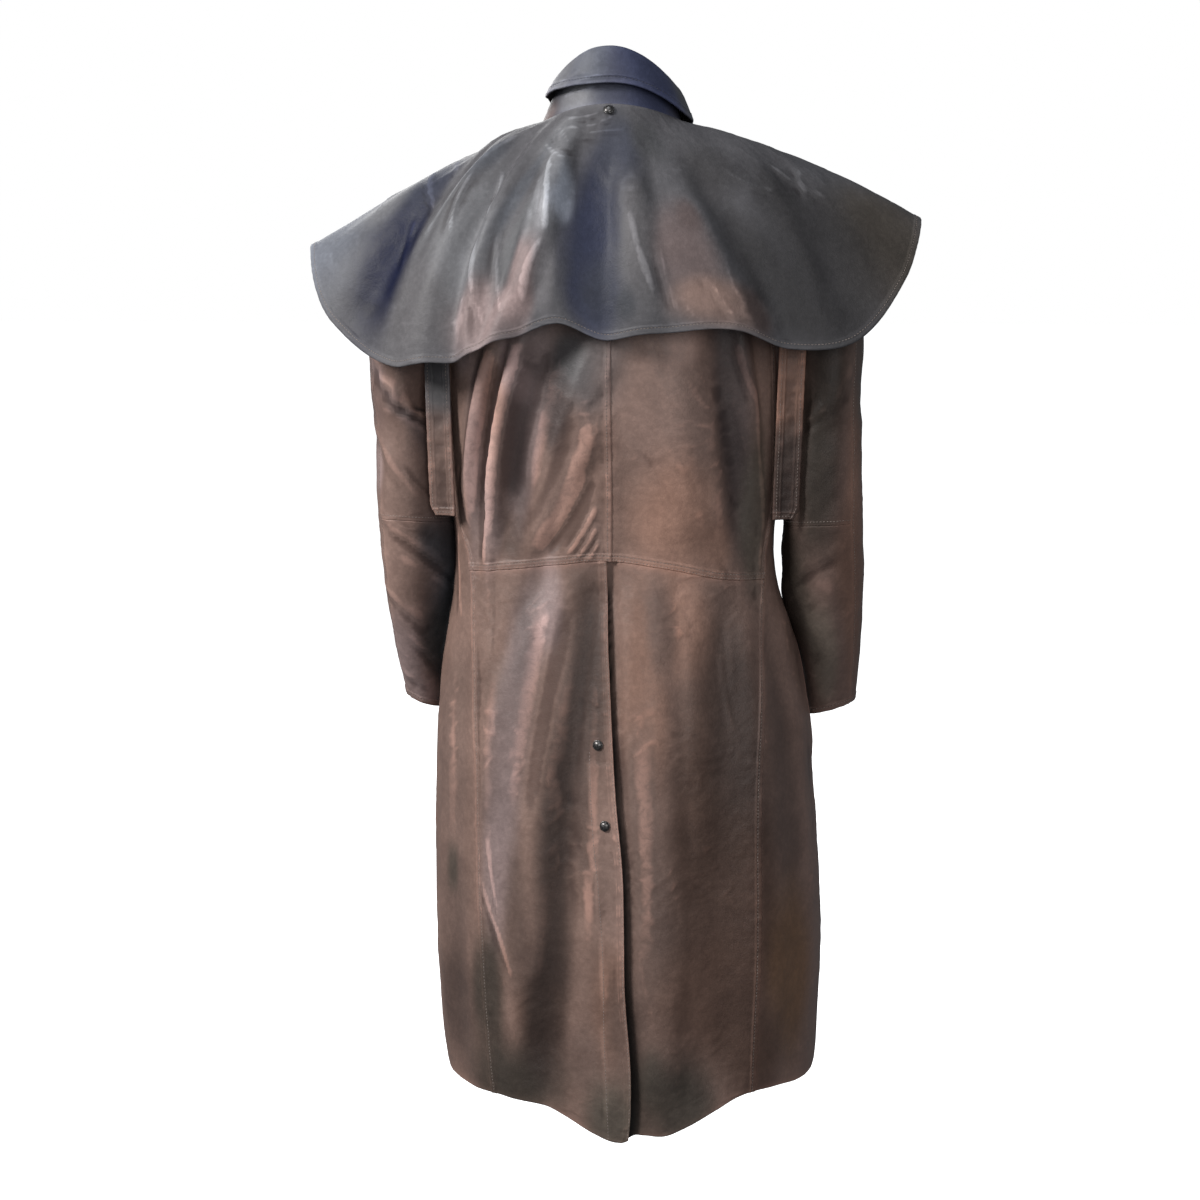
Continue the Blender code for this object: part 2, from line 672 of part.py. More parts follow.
def snap(name, base, outward, clearance):
    """A domed snap cap standing on the leather."""
    bpy.ops.mesh.primitive_uv_sphere_add(segments=12, ring_count=6, radius=SNAP_RADIUS)
    obj = bpy.context.active_object
    obj.name = name
    obj.data.name = name
    form = bmesh.new()
    form.from_mesh(obj.data)
    for vertex in form.verts:
        vertex.co.z = max(vertex.co.z, 0.0) * SNAP_HEIGHT / SNAP_RADIUS
    bmesh.ops.remove_doubles(form, verts=form.verts, dist=0.00005)
    bmesh.ops.dissolve_degenerate(form, edges=form.edges, dist=0.00002)
    bmesh.ops.recalc_face_normals(form, faces=form.faces)
    form.to_mesh(obj.data)
    form.free()
    for owner in list(obj.users_collection):
        owner.objects.unlink(obj)
    coat.objects.link(obj)
    obj.location = base + outward * clearance
    obj.rotation_mode = "QUATERNION"
    obj.rotation_quaternion = outward.to_track_quat("Z", "Y")
    paint(obj, GUNMETAL, 0.3, 1.0)
    return obj


def build_snaps():
    for name, past, down in VENT_SNAPS:
        angle = degrees_of(past, down)
        base = body_point(angle, down)
        outward = (body_point(angle, down, 0.01) - base).normalized()
        snap(name, base, outward, SNAP_CLEARANCE)
    # Down the front they sit on every other row of the left front's last column but one
    angle = lerp(front_edge(1.0), FRONT_LAP_OVER, 1.0 - 1.0 / FRONT_COLUMNS)
    for number in range(FRONT_SNAPS):
        down = hem_line(angle) * 2 * (number + 1) / FRONT_ROWS
        across = body_point(angle + 1.5, down) - body_point(angle - 1.5, down)
        along = body_point(angle, down + 0.01) - body_point(angle, down - 0.01)
        outward = across.cross(along).normalized()
        if outward.y > 0:
            outward.negate()
        snap("front_snap_" + str(number + 1), body_point(angle, down), outward, FRONT_SNAP_CLEARANCE)
    base = cape_point(0.0, 0.03)
    snap("neck_snap", base, Vector((0.0, 0.8, 0.6)).normalized(), NECK_SNAP_CLEARANCE)


clear_scene()
coat = bpy.data.collections.new("duster_coat")
bpy.context.scene.collection.children.link(coat)
build_body()
for sleeve_side, sleeve_hand in ((1, "left"), (-1, "right")):
    build_sleeve(sleeve_side, sleeve_hand)
build_collar()
build_cape()
build_straps()
build_snaps()
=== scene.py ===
# Long leather duster coat with a shoulder cape, seen from behind: the leather, seams, stitching and snaps.
# Metres, +Z up. The wearer faces -Y, so the back is +Y and the wearer's left is +X.
import math

import bpy
import numpy as np
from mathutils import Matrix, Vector


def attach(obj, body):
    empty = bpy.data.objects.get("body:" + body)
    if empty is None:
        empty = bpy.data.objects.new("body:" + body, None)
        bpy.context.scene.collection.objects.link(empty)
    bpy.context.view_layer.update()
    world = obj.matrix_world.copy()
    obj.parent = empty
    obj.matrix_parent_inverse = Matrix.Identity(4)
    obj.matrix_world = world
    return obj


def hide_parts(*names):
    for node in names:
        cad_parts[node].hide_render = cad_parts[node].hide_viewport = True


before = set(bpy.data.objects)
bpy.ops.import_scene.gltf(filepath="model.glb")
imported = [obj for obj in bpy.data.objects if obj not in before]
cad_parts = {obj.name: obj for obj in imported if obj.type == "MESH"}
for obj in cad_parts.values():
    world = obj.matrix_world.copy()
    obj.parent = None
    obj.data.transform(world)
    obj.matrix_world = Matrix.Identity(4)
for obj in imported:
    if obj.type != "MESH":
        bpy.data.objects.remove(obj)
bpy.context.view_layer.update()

HANDS = ((1, "left"), (-1, "right"))
LEATHER = 0.0018
DOUBLE_LEATHER = 0.0030
SEAM_GAP = 0.00008
SEAM_LAP = 0.0022

# Steps of the leather's mesh where it shows most, and elsewhere
BACK_STEP = 0.0034
CAPE_STEP = 0.0036
SLEEVE_STEP = 0.0046
PLAIN_STEP = 0.0075
EDGE_STEP = 0.0009
EDGE_REACH = 0.0100
# Distance down the back from the neck seam
SHOULDER_TIP = 0.140

# The body by rows down the back. Angles run round it: 0 centre back, 90 wearer's left, 180 centre front.
# down, z_back, z_side, z_front, half_width, depth_back, depth_front, centre_x, power
BODY = (
    (0.0, 0.0, -0.02, -0.078, 0.078, 0.072, 0.08, 0.0, 2.0),
    (0.07, -0.058, -0.054, -0.116, 0.14, 0.098, 0.1, 0.0, 2.1),
    (0.14, -0.124, -0.087, -0.16, 0.201, 0.118, 0.118, 0.0, 2.2),
    (0.23, -0.222, -0.206, -0.23, 0.206, 0.13, 0.132, 0.0, 2.4),
    (0.345, -0.34, -0.338, -0.34, 0.204, 0.132, 0.138, 0.0, 2.4),
    (0.44, -0.436, -0.436, -0.436, 0.199, 0.122, 0.133, 0.0, 2.4),
    (0.53, -0.526, -0.526, -0.526, 0.194, 0.113, 0.128, 0.0, 2.3),
    (0.63, -0.626, -0.626, -0.626, 0.207, 0.127, 0.136, -0.004, 2.3),
    (0.75, -0.746, -0.746, -0.746, 0.225, 0.147, 0.152, -0.008, 2.3),
    (0.98, -0.976, -0.976, -0.976, 0.238, 0.174, 0.165, -0.016, 2.3),
    (1.13, -1.126, -1.126, -1.126, 0.234, 0.186, 0.17, -0.018, 2.3),
    (1.215, -1.211, -1.211, -1.211, 0.228, 0.19, 0.171, -0.021, 2.3),
)

# Edge of the back panel round the body, below the armhole, on the left and the right
# down, left, right
BACK_EDGE = (
    (0.282, 65.5, 65.5),
    (0.4, 72.0, 72.0),
    (0.47, 72.0, 75.0),
    (0.53, 58.5, 69.0),
    (0.62, 53.0, 59.0),
    (0.77, 44.5, 47.5),
    (0.96, 41.8, 42.5),
    (1.215, 38.5, 40.5),
)
FRONT_EDGE = 112.0
ARMHOLE_MIDDLE = 0.242
ARMHOLE_HALF_HEIGHT = 0.103
ARMHOLE_HALF_ANGLE = 27.0

# Largest folds of the body: ridges stand out, valleys sink in
# angle_top, angle_bottom, down_top, down_bottom, width in degrees, depth
BODY_FOLDS = (
    (33.0, 62.0, 0.26, 0.47, 4.0, 0.005),
    (30.0, 48.0, 0.24, 0.48, 3.6, -0.006),
    (22.0, 45.0, 0.24, 0.54, 3.6, 0.007),
    (7.0, 35.0, 0.22, 0.5, 7.0, -0.01),
    (0.0, 24.0, 0.28, 0.5, 4.6, 0.006),
    (1.0, 20.0, 0.4, 0.52, 3.2, -0.005),
    (-31.0, -50.0, 0.22, 0.49, 7.0, -0.008),
    (-42.0, -58.0, 0.24, 0.38, 3.6, 0.004),
    (-52.0, -62.0, 0.24, 0.42, 5.0, -0.005),
    (-13.0, -20.0, 0.24, 0.52, 10.0, 0.005),
    (3.0, 20.0, 0.54, 1.14, 7.0, -0.01),
    (10.0, 28.0, 0.54, 1.17, 6.0, 0.008),
    (20.0, 40.0, 0.53, 0.68, 5.0, -0.004),
    (-11.0, -7.0, 0.54, 1.17, 7.0, 0.008),
    (-38.0, -25.0, 0.58, 1.16, 9.0, -0.008),
    (60.0, 58.0, 0.62, 1.18, 8.0, -0.006),
    (92.0, 94.0, 0.62, 1.18, 12.0, 0.005),
    (-66.0, -62.0, 0.6, 1.18, 9.0, -0.006),
    (-98.0, -94.0, 0.62, 1.18, 12.0, 0.005),
    (130.0, 128.0, 0.56, 1.18, 12.0, 0.007),
    (152.0, 150.0, 0.28, 1.18, 12.0, -0.007),
    (-130.0, -126.0, 0.56, 1.18, 12.0, 0.007),
    (-152.0, -152.0, 0.28, 1.18, 12.0, -0.007),
)

# Waist seam and hem: how far down each lies at an angle round the body
WAIST_SEAM = (
    (-70.0, 0.553),
    (-40.0, 0.547),
    (-17.0, 0.532),
    (0.0, 0.524),
    (14.0, 0.529),
    (30.0, 0.536),
    (50.0, 0.543),
    (70.0, 0.546),
)
HEM_LINE = (
    (-195.0, 1.172),
    (-90.0, 1.174),
    (-68.0, 1.172),
    (-50.0, 1.162),
    (-37.0, 1.162),
    (-27.0, 1.177),
    (-17.0, 1.195),
    (-11.0, 1.204),
    (-4.0, 1.203),
    (0.0, 1.212),
    (5.0, 1.204),
    (13.0, 1.184),
    (19.0, 1.174),
    (31.0, 1.171),
    (60.0, 1.177),
    (90.0, 1.174),
    (195.0, 1.172),
)

# The vent: the left skirt laps over the right one, and the right one runs on beneath it
# down, flap edge past the centre, under lap past the centre, in metres
VENT = (
    (0.524, 0.0, 0.0),
    (0.57, 0.0, 0.012),
    (0.64, 0.0, 0.03),
    (0.8, 0.003, 0.03),
    (0.89, 0.007, 0.03),
    (1.02, 0.007, 0.03),
    (1.12, 0.012, 0.03),
    (1.17, 0.011, 0.03),
    (1.215, 0.007, 0.03),
)
# The left front laps over the right one; angles at its edge and at the right one's edge
FRONT_LAP_EDGE = 186.0
FRONT_UNDER_EDGE = -190.0
LAP_DEPTH = 0.0034
LAP_END = -173.0
LAP_START = -169.0

# Sleeves: the head turns about a point at the underarm, then the arm hangs down
PIVOT_Z = -0.362
ARMHOLE_TUCK = 0.0006
# angle from upright, reach to the outer edge, half depth, share of the armhole's own shape
SLEEVE_HEAD = (
    (4.0, 0.27, 0.07, 0.85),
    (10.0, 0.252, 0.074, 0.55),
    (19.0, 0.215, 0.078, 0.2),
    (31.0, 0.165, 0.08, 0.0),
    (50.0, 0.114, 0.08, 0.0),
    (72.0, 0.09, 0.079, 0.0),
)
# z_outer, z_inner, inner edge left, outer edge left, inner right, outer right, centre_y, half depth
SLEEVE_ARM = (
    (-0.372, -0.378, 0.2095, 0.29, 0.2095, 0.296, 0.0, 0.076),
    (-0.43, -0.434, 0.207, 0.29, 0.207, 0.298, 0.0, 0.074),
    (-0.485, -0.49, 0.204, 0.29, 0.204, 0.3, -0.004, 0.072),
    (-0.54, -0.546, 0.203, 0.289, 0.204, 0.303, -0.014, 0.069),
    (-0.59, -0.598, 0.212, 0.287, 0.212, 0.303, -0.03, 0.066),
    (-0.65, -0.662, 0.224, 0.283, 0.23, 0.302, -0.055, 0.062),
    (-0.706, -0.724, 0.226, 0.278, 0.236, 0.3, -0.08, 0.058),
    (-0.722, -0.742, 0.226, 0.275, 0.237, 0.299, -0.086, 0.057),
)
ELBOW_ROW = 8
HIND_SEAM = 48.0
FORE_SEAM = -132.0

# Collar rings: z_back, z_side, z_front, half_width, depth_back, depth_front
COLLAR_STAND = (
    (0.0006, -0.0184, -0.076, 0.0782, 0.0725, 0.0798),
    (0.021, -0.003, -0.068, 0.0745, 0.069, 0.0775),
    (0.043, 0.012, -0.06, 0.0715, 0.067, 0.076),
    (0.061, 0.019, -0.051, 0.0675, 0.063, 0.074),
)
COLLAR_FALL = (
    (0.0635, 0.0215, -0.048, 0.067, 0.0625, 0.0745),
    (0.0665, 0.0245, -0.045, 0.0715, 0.0665, 0.079),
    (0.064, 0.0215, -0.048, 0.0765, 0.0715, 0.084),
    (0.05, 0.01, -0.06, 0.083, 0.076, 0.093),
    (0.037, -0.002, -0.076, 0.088, 0.0785, 0.104),
    (0.025, -0.013, -0.095, 0.0915, 0.08, 0.115),
)
COLLAR_FRONT_ANGLE = 172.0
FALL_FRONT_ANGLE = 163.0

# The cape by rows round the wearer, each with its hem and its middle
# angle, hem x, hem y, hem z, middle x, middle y, middle z
CAPE = (
    (-164.0, -0.046, -0.186, -0.262, -0.032, -0.15, -0.16),
    (-140.0, -0.15, -0.176, -0.272, -0.092, -0.132, -0.135),
    (-122.0, -0.25, -0.14, -0.24, -0.15, -0.1, -0.104),
    (-104.0, -0.335, -0.086, -0.18, -0.205, -0.05, -0.07),
    (-90.0, -0.361, -0.014, -0.126, -0.222, -0.008, -0.058),
    (-76.0, -0.342, 0.06, -0.192, -0.21, 0.05, -0.071),
    (-60.0, -0.288, 0.106, -0.262, -0.182, 0.089, -0.103),
    (-45.0, -0.213, 0.13, -0.27, -0.146, 0.112, -0.124),
    (-30.0, -0.15, 0.15, -0.252, -0.103, 0.125, -0.132),
    (-15.0, -0.075, 0.16, -0.254, -0.052, 0.135, -0.13),
    (0.0, -0.006, 0.161, -0.26, 0.0, 0.138, -0.13),
    (15.0, 0.052, 0.161, -0.243, 0.05, 0.137, -0.13),
    (30.0, 0.108, 0.158, -0.263, 0.1, 0.128, -0.13),
    (45.0, 0.176, 0.144, -0.286, 0.142, 0.112, -0.124),
    (60.0, 0.252, 0.114, -0.294, 0.18, 0.091, -0.11),
    (76.0, 0.331, 0.06, -0.246, 0.208, 0.052, -0.084),
    (90.0, 0.371, -0.01, -0.158, 0.222, -0.006, -0.075),
    (104.0, 0.342, -0.08, -0.214, 0.205, -0.05, -0.087),
    (122.0, 0.262, -0.138, -0.254, 0.152, -0.1, -0.11),
    (140.0, 0.152, -0.176, -0.272, 0.092, -0.132, -0.135),
    (164.0, 0.046, -0.186, -0.262, 0.032, -0.15, -0.16),
)
CAPE_NECK_OUT = 0.0029
CAPE_NECK_UP = 0.0055

# Radial folds of the cape: angle_neck, angle_hem, bend of its line, start, end, width in degrees, depth
CAPE_FOLDS = (
    (19.0, 33.0, 3.0, 0.16, 1.1, 4.5, 0.009),
    (13.0, 3.0, 0.5, 0.26, 1.1, 8.0, -0.007),
    (-12.0, -7.0, 1.0, 0.2, 1.1, 6.0, 0.007),
    (-30.0, -24.0, 1.0, 0.35, 1.1, 8.0, 0.006),
    (84.0, 69.0, 1.0, 0.2, 1.0, 6.5, -0.01),
    (66.0, 52.0, 0.7, 0.2, 1.1, 5.0, 0.008),
    (48.0, 45.0, 1.0, 0.15, 1.1, 3.6, -0.007),
    (40.0, 41.0, 1.0, 0.25, 1.1, 3.2, 0.004),
    (76.0, 80.0, 1.0, 0.5, 1.1, 5.0, 0.005),
    (-82.0, -60.0, 1.0, 0.4, 0.95, 5.0, -0.005),
    (-44.0, -48.0, 1.0, 0.25, 1.1, 9.0, -0.005),
    (104.0, 108.0, 1.0, 0.2, 1.05, 8.0, -0.008),
    (-104.0, -108.0, 1.0, 0.2, 1.05, 8.0, -0.008),
    (126.0, 128.0, 1.0, 0.25, 1.1, 7.0, 0.007),
    (-126.0, -128.0, 1.0, 0.25, 1.1, 7.0, 0.007),
)

# Straps that hang from under the cape: hand, top x, top y, bottom x, bottom y
STRAPS = (
    ("left", 0.205, 0.0786, 0.2, 0.0706),
    ("right", -0.214, 0.0809, -0.207, 0.0709),
)
STRAP_WIDTH = 0.031
STRAP_TOP_Z = -0.215
STRAP_BOTTOM_Z = -0.474
FLAP_LIFT = 0.0022

# Creases of the back, laid along curves on the leather: angle and distance down at each end,
# how far the curve bows, its width and its height, in metres
CREASES = (
    (35.0, 0.27, 58.0, 0.5, 0.01, 0.007, 0.0046),
    (30.0, 0.27, 50.0, 0.5, 0.006, 0.007, -0.0044),
    (22.5, 0.262, 43.0, 0.52, 0.012, 0.0065, 0.005),
    (44.0, 0.47, 47.0, 0.54, 0.0, 0.005, 0.003),
    (14.0, 0.262, 31.0, 0.48, 0.012, 0.018, -0.006),
    (1.0, 0.33, 27.0, 0.528, -0.014, 0.015, 0.0046),
    (1.2, 0.42, 19.5, 0.524, -0.004, 0.0058, -0.0034),
    (1.2, 0.452, 12.5, 0.525, -0.003, 0.004, 0.0026),
    (1.5, 0.478, 9.0, 0.526, -0.002, 0.0034, 0.0024),
    (1.2, 0.498, 5.8, 0.527, -0.001, 0.0028, 0.0018),
    (-42.0, 0.27, -54.0, 0.346, 0.003, 0.005, 0.002),
    (-30.0, 0.27, -52.0, 0.52, -0.008, 0.018, -0.0036),
    (-16.0, 0.29, -28.0, 0.52, -0.004, 0.024, 0.0022),
    (-50.0, 0.3, -66.0, 0.5, -0.004, 0.007, 0.0014),
    (20.0, 0.545, 34.0, 0.76, 0.008, 0.022, 0.0014),
    (9.0, 0.548, 24.0, 0.86, 0.004, 0.016, -0.0046),
    (2.0, 0.6, 6.0, 1.02, 0.002, 0.012, 0.002),
    (38.0, 0.62, 40.0, 0.98, 0.004, 0.016, 0.003),
    (40.5, 0.905, 26.8, 1.03, 0.004, 0.0036, 0.0024),
    (38.0, 0.85, 33.0, 0.96, 0.002, 0.0032, 0.0018),
    (-16.0, 0.62, -22.0, 0.98, 0.002, 0.022, -0.002),
    (-8.0, 0.7, -7.0, 1.02, 0.002, 0.012, 0.0014),
    (70.0, 0.48, 62.0, 0.62, 0.003, 0.006, 0.0018),
    (66.0, 0.64, 60.0, 0.9, 0.003, 0.014, 0.0014),
    (-66.0, 0.47, -60.0, 0.6, 0.003, 0.006, 0.0014),
    (118.0, 0.33, 132.0, 0.53, 0.01, 0.009, 0.0034),
    (124.0, 0.3, 142.0, 0.52, -0.006, 0.012, -0.003),
    (112.0, 0.4, 104.0, 0.56, 0.006, 0.007, 0.0026),
    (150.0, 0.36, 140.0, 0.56, 0.008, 0.01, 0.0022),
    (166.0, 0.42, 146.0, 0.6, -0.006, 0.008, -0.002),
    (136.0, 0.56, 128.0, 0.86, 0.006, 0.016, 0.003),
    (152.0, 0.6, 148.0, 0.98, -0.004, 0.018, -0.0028),
    (120.0, 0.64, 114.0, 0.96, 0.004, 0.014, 0.0024),
    (164.0, 0.7, 160.0, 1.06, 0.004, 0.012, 0.0018),
    (98.0, 0.56, 92.0, 0.84, 0.004, 0.012, 0.0022),
    (-116.0, 0.34, -130.0, 0.52, -0.008, 0.009, 0.003),
    (-122.0, 0.3, -144.0, 0.5, 0.008, 0.013, -0.003),
    (-110.0, 0.42, -103.0, 0.58, -0.004, 0.007, 0.0024),
    (-152.0, 0.34, -138.0, 0.52, -0.006, 0.009, 0.0024),
    (-160.0, 0.4, -142.0, 0.62, 0.006, 0.008, -0.0018),
    (-132.0, 0.58, -126.0, 0.9, -0.006, 0.015, 0.0028),
    (-148.0, 0.56, -144.0, 0.92, 0.004, 0.018, -0.003),
    (-118.0, 0.66, -112.0, 0.98, -0.004, 0.013, 0.0022),
    (-162.0, 0.74, -158.0, 1.08, -0.004, 0.012, 0.0018),
    (-96.0, 0.6, -92.0, 0.9, -0.004, 0.012, 0.002),
)

# Finer folds of the cape: angle at the neck and at the hem, where each starts and ends, width and height
CAPE_CREASES = (
    (24.0, 24.0, 0.03, 0.84, 3.2, 0.003),
    (10.0, 7.0, 0.1, 0.98, 6.0, -0.004),
    (-9.0, -11.0, 0.3, 0.98, 4.0, 0.0026),
    (-3.0, -2.0, 0.1, 0.6, 3.0, -0.0014),
    (30.0, 40.0, 0.25, 0.95, 2.4, -0.0016),
    (38.0, 46.0, 0.4, 0.98, 2.8, 0.0016),
    (46.0, 52.0, 0.12, 0.7, 1.8, 0.0013),
    (52.0, 58.0, 0.1, 0.8, 2.6, -0.0018),
    (57.0, 63.0, 0.1, 0.62, 1.4, 0.0012),
    (66.0, 72.0, 0.3, 0.98, 4.0, -0.0044),
    (70.0, 77.0, 0.1, 0.5, 1.2, 0.0012),
    (79.0, 84.0, 0.35, 0.98, 3.4, 0.0026),
    (-20.0, -20.0, 0.45, 1.02, 3.0, 0.0016),
    (-30.0, -34.0, 0.35, 0.95, 3.4, 0.0014),
    (-40.0, -44.0, 0.2, 0.98, 4.5, -0.003),
    (-70.0, -66.0, 0.3, 0.86, 3.0, 0.0012),
    (-60.0, -54.0, 0.2, 0.8, 3.4, -0.001),
    (-80.0, -77.0, 0.3, 0.98, 3.0, 0.0012),
    (112.0, 118.0, 0.1, 0.98, 4.0, 0.0026),
    (132.0, 134.0, 0.15, 0.98, 4.6, -0.0032),
    (150.0, 152.0, 0.15, 0.98, 3.6, 0.0022),
    (-114.0, -118.0, 0.1, 0.98, 4.0, 0.0026),
    (-134.0, -136.0, 0.15, 0.98, 4.6, -0.0032),
    (-152.0, -154.0, 0.15, 0.98, 3.6, 0.0022),
)

# Sharper wrinkles of the cape: angle and share of the way down at each end, bow, width and height,
# with the metres that a degree and the whole way down stand for
CAPE_SPREAD = 0.0030
CAPE_REACH = 0.240
CAPE_WRINKLES = (
    (30.0, 0.05, 2.0, 0.02, 0.004, 0.0026, 0.0014),
    (26.0, 0.1, -6.0, 0.05, 0.003, 0.0024, 0.0012),
    (20.0, 0.14, -14.0, 0.12, -0.004, 0.0028, 0.0012),
    (34.0, 0.12, 12.0, 0.22, 0.004, 0.003, -0.0012),
    (86.0, 0.46, 66.0, 0.56, 0.006, 0.003, 0.0018),
    (84.0, 0.38, 70.0, 0.42, 0.004, 0.0026, 0.0016),
    (92.0, 0.56, 82.0, 0.74, 0.004, 0.003, 0.0016),
    (74.0, 0.6, 66.0, 0.78, 0.003, 0.003, 0.0014),
    (58.0, 0.34, 52.0, 0.62, 0.004, 0.0034, 0.0018),
    (50.0, 0.3, 42.0, 0.52, -0.004, 0.0034, 0.0016),
    (44.0, 0.55, 35.0, 0.96, 0.003, 0.0036, 0.0016),
    (36.0, 0.5, 29.0, 0.94, 0.003, 0.0032, 0.0014),
    (25.0, 0.2, 19.0, 0.6, -0.005, 0.0036, 0.002),
    (18.5, 0.55, 25.0, 0.9, 0.003, 0.0036, 0.0018),
    (-8.0, 0.42, -14.0, 0.88, 0.003, 0.004, 0.0012),
    (-16.0, 0.58, -18.0, 0.96, 0.002, 0.0034, 0.0012),
    (-24.0, 0.7, -30.0, 0.98, -0.003, 0.0034, 0.0012),
    (-72.0, 0.38, -76.0, 0.7, 0.004, 0.0036, 0.0014),
    (-78.0, 0.5, -70.0, 0.64, 0.003, 0.0028, 0.0012),
    (-52.0, 0.3, -66.0, 0.52, 0.004, 0.0036, 0.001),
    (110.0, 0.3, 118.0, 0.7, 0.004, 0.004, 0.0014),
    (126.0, 0.24, 132.0, 0.8, -0.004, 0.0044, 0.0016),
    (142.0, 0.4, 146.0, 0.92, 0.003, 0.004, 0.0014),
    (-108.0, 0.34, -114.0, 0.74, 0.004, 0.004, 0.0014),
    (-128.0, 0.26, -132.0, 0.84, 0.004, 0.0044, 0.0016),
    (-146.0, 0.36, -144.0, 0.9, -0.003, 0.004, 0.0014),
)

# Folds across the sleeves: row down the sleeve and turn at each end, width in rows, height
SLEEVE_CREASES = (
    (3.2, 36.0, 5.4, 150.0, 0.14, 0.0036),
    (3.9, 30.0, 6.0, 150.0, 0.2, -0.003),
    (3.6, 84.0, 4.4, 150.0, 0.1, 0.0022),
    (5.6, 10.0, 7.2, 110.0, 0.2, 0.002),
    (6.4, 60.0, 7.8, 170.0, 0.16, -0.0016),
    (7.6, 20.0, 9.0, 160.0, 0.16, 0.002),
    (8.2, 60.0, 9.6, 190.0, 0.14, -0.0018),
    (9.4, 10.0, 10.4, 130.0, 0.16, 0.0016),
    (10.4, 60.0, 11.4, 180.0, 0.13, 0.0014),
    (11.4, 20.0, 11.8, 140.0, 0.1, 0.001),
    (5.2, -120.0, 6.6, -10.0, 0.2, 0.002),
    (7.8, -100.0, 8.3, -5.0, 0.16, 0.002),
    (8.5, -130.0, 8.2, -20.0, 0.14, -0.0018),
    (9.4, -110.0, 9.8, -20.0, 0.16, 0.0015),
    (10.8, -120.0, 11.0, -10.0, 0.14, 0.0013),
    (8.0, 150.0, 8.4, 250.0, 0.14, 0.0018),
    (9.2, 160.0, 9.0, 240.0, 0.14, 0.0016),
)

# Families of colour for the painted tones, each with its strongest channel at 1: the leather's browns and
# mauves, and greys and blues that also carry painted shade, painted highlight and a painted reflection of
# bluish light
HUES = {
    "ochre": (1.0, 0.54, 0.28),
    "russet": (1.0, 0.58, 0.43),
    "brown": (1.0, 0.67, 0.56),
    "mauve": (1.0, 0.75, 0.72),
    "olive": (1.0, 0.84, 0.68),
    "grey": (1.0, 0.96, 1.0),
    "slate": (0.94, 0.95, 1.0),
    "steel": (0.80, 0.86, 1.0),
    "dusk": (0.66, 0.72, 1.0),
    "indigo": (0.45, 0.53, 1.0),
    "navy": (0.10, 0.20, 1.0),
}
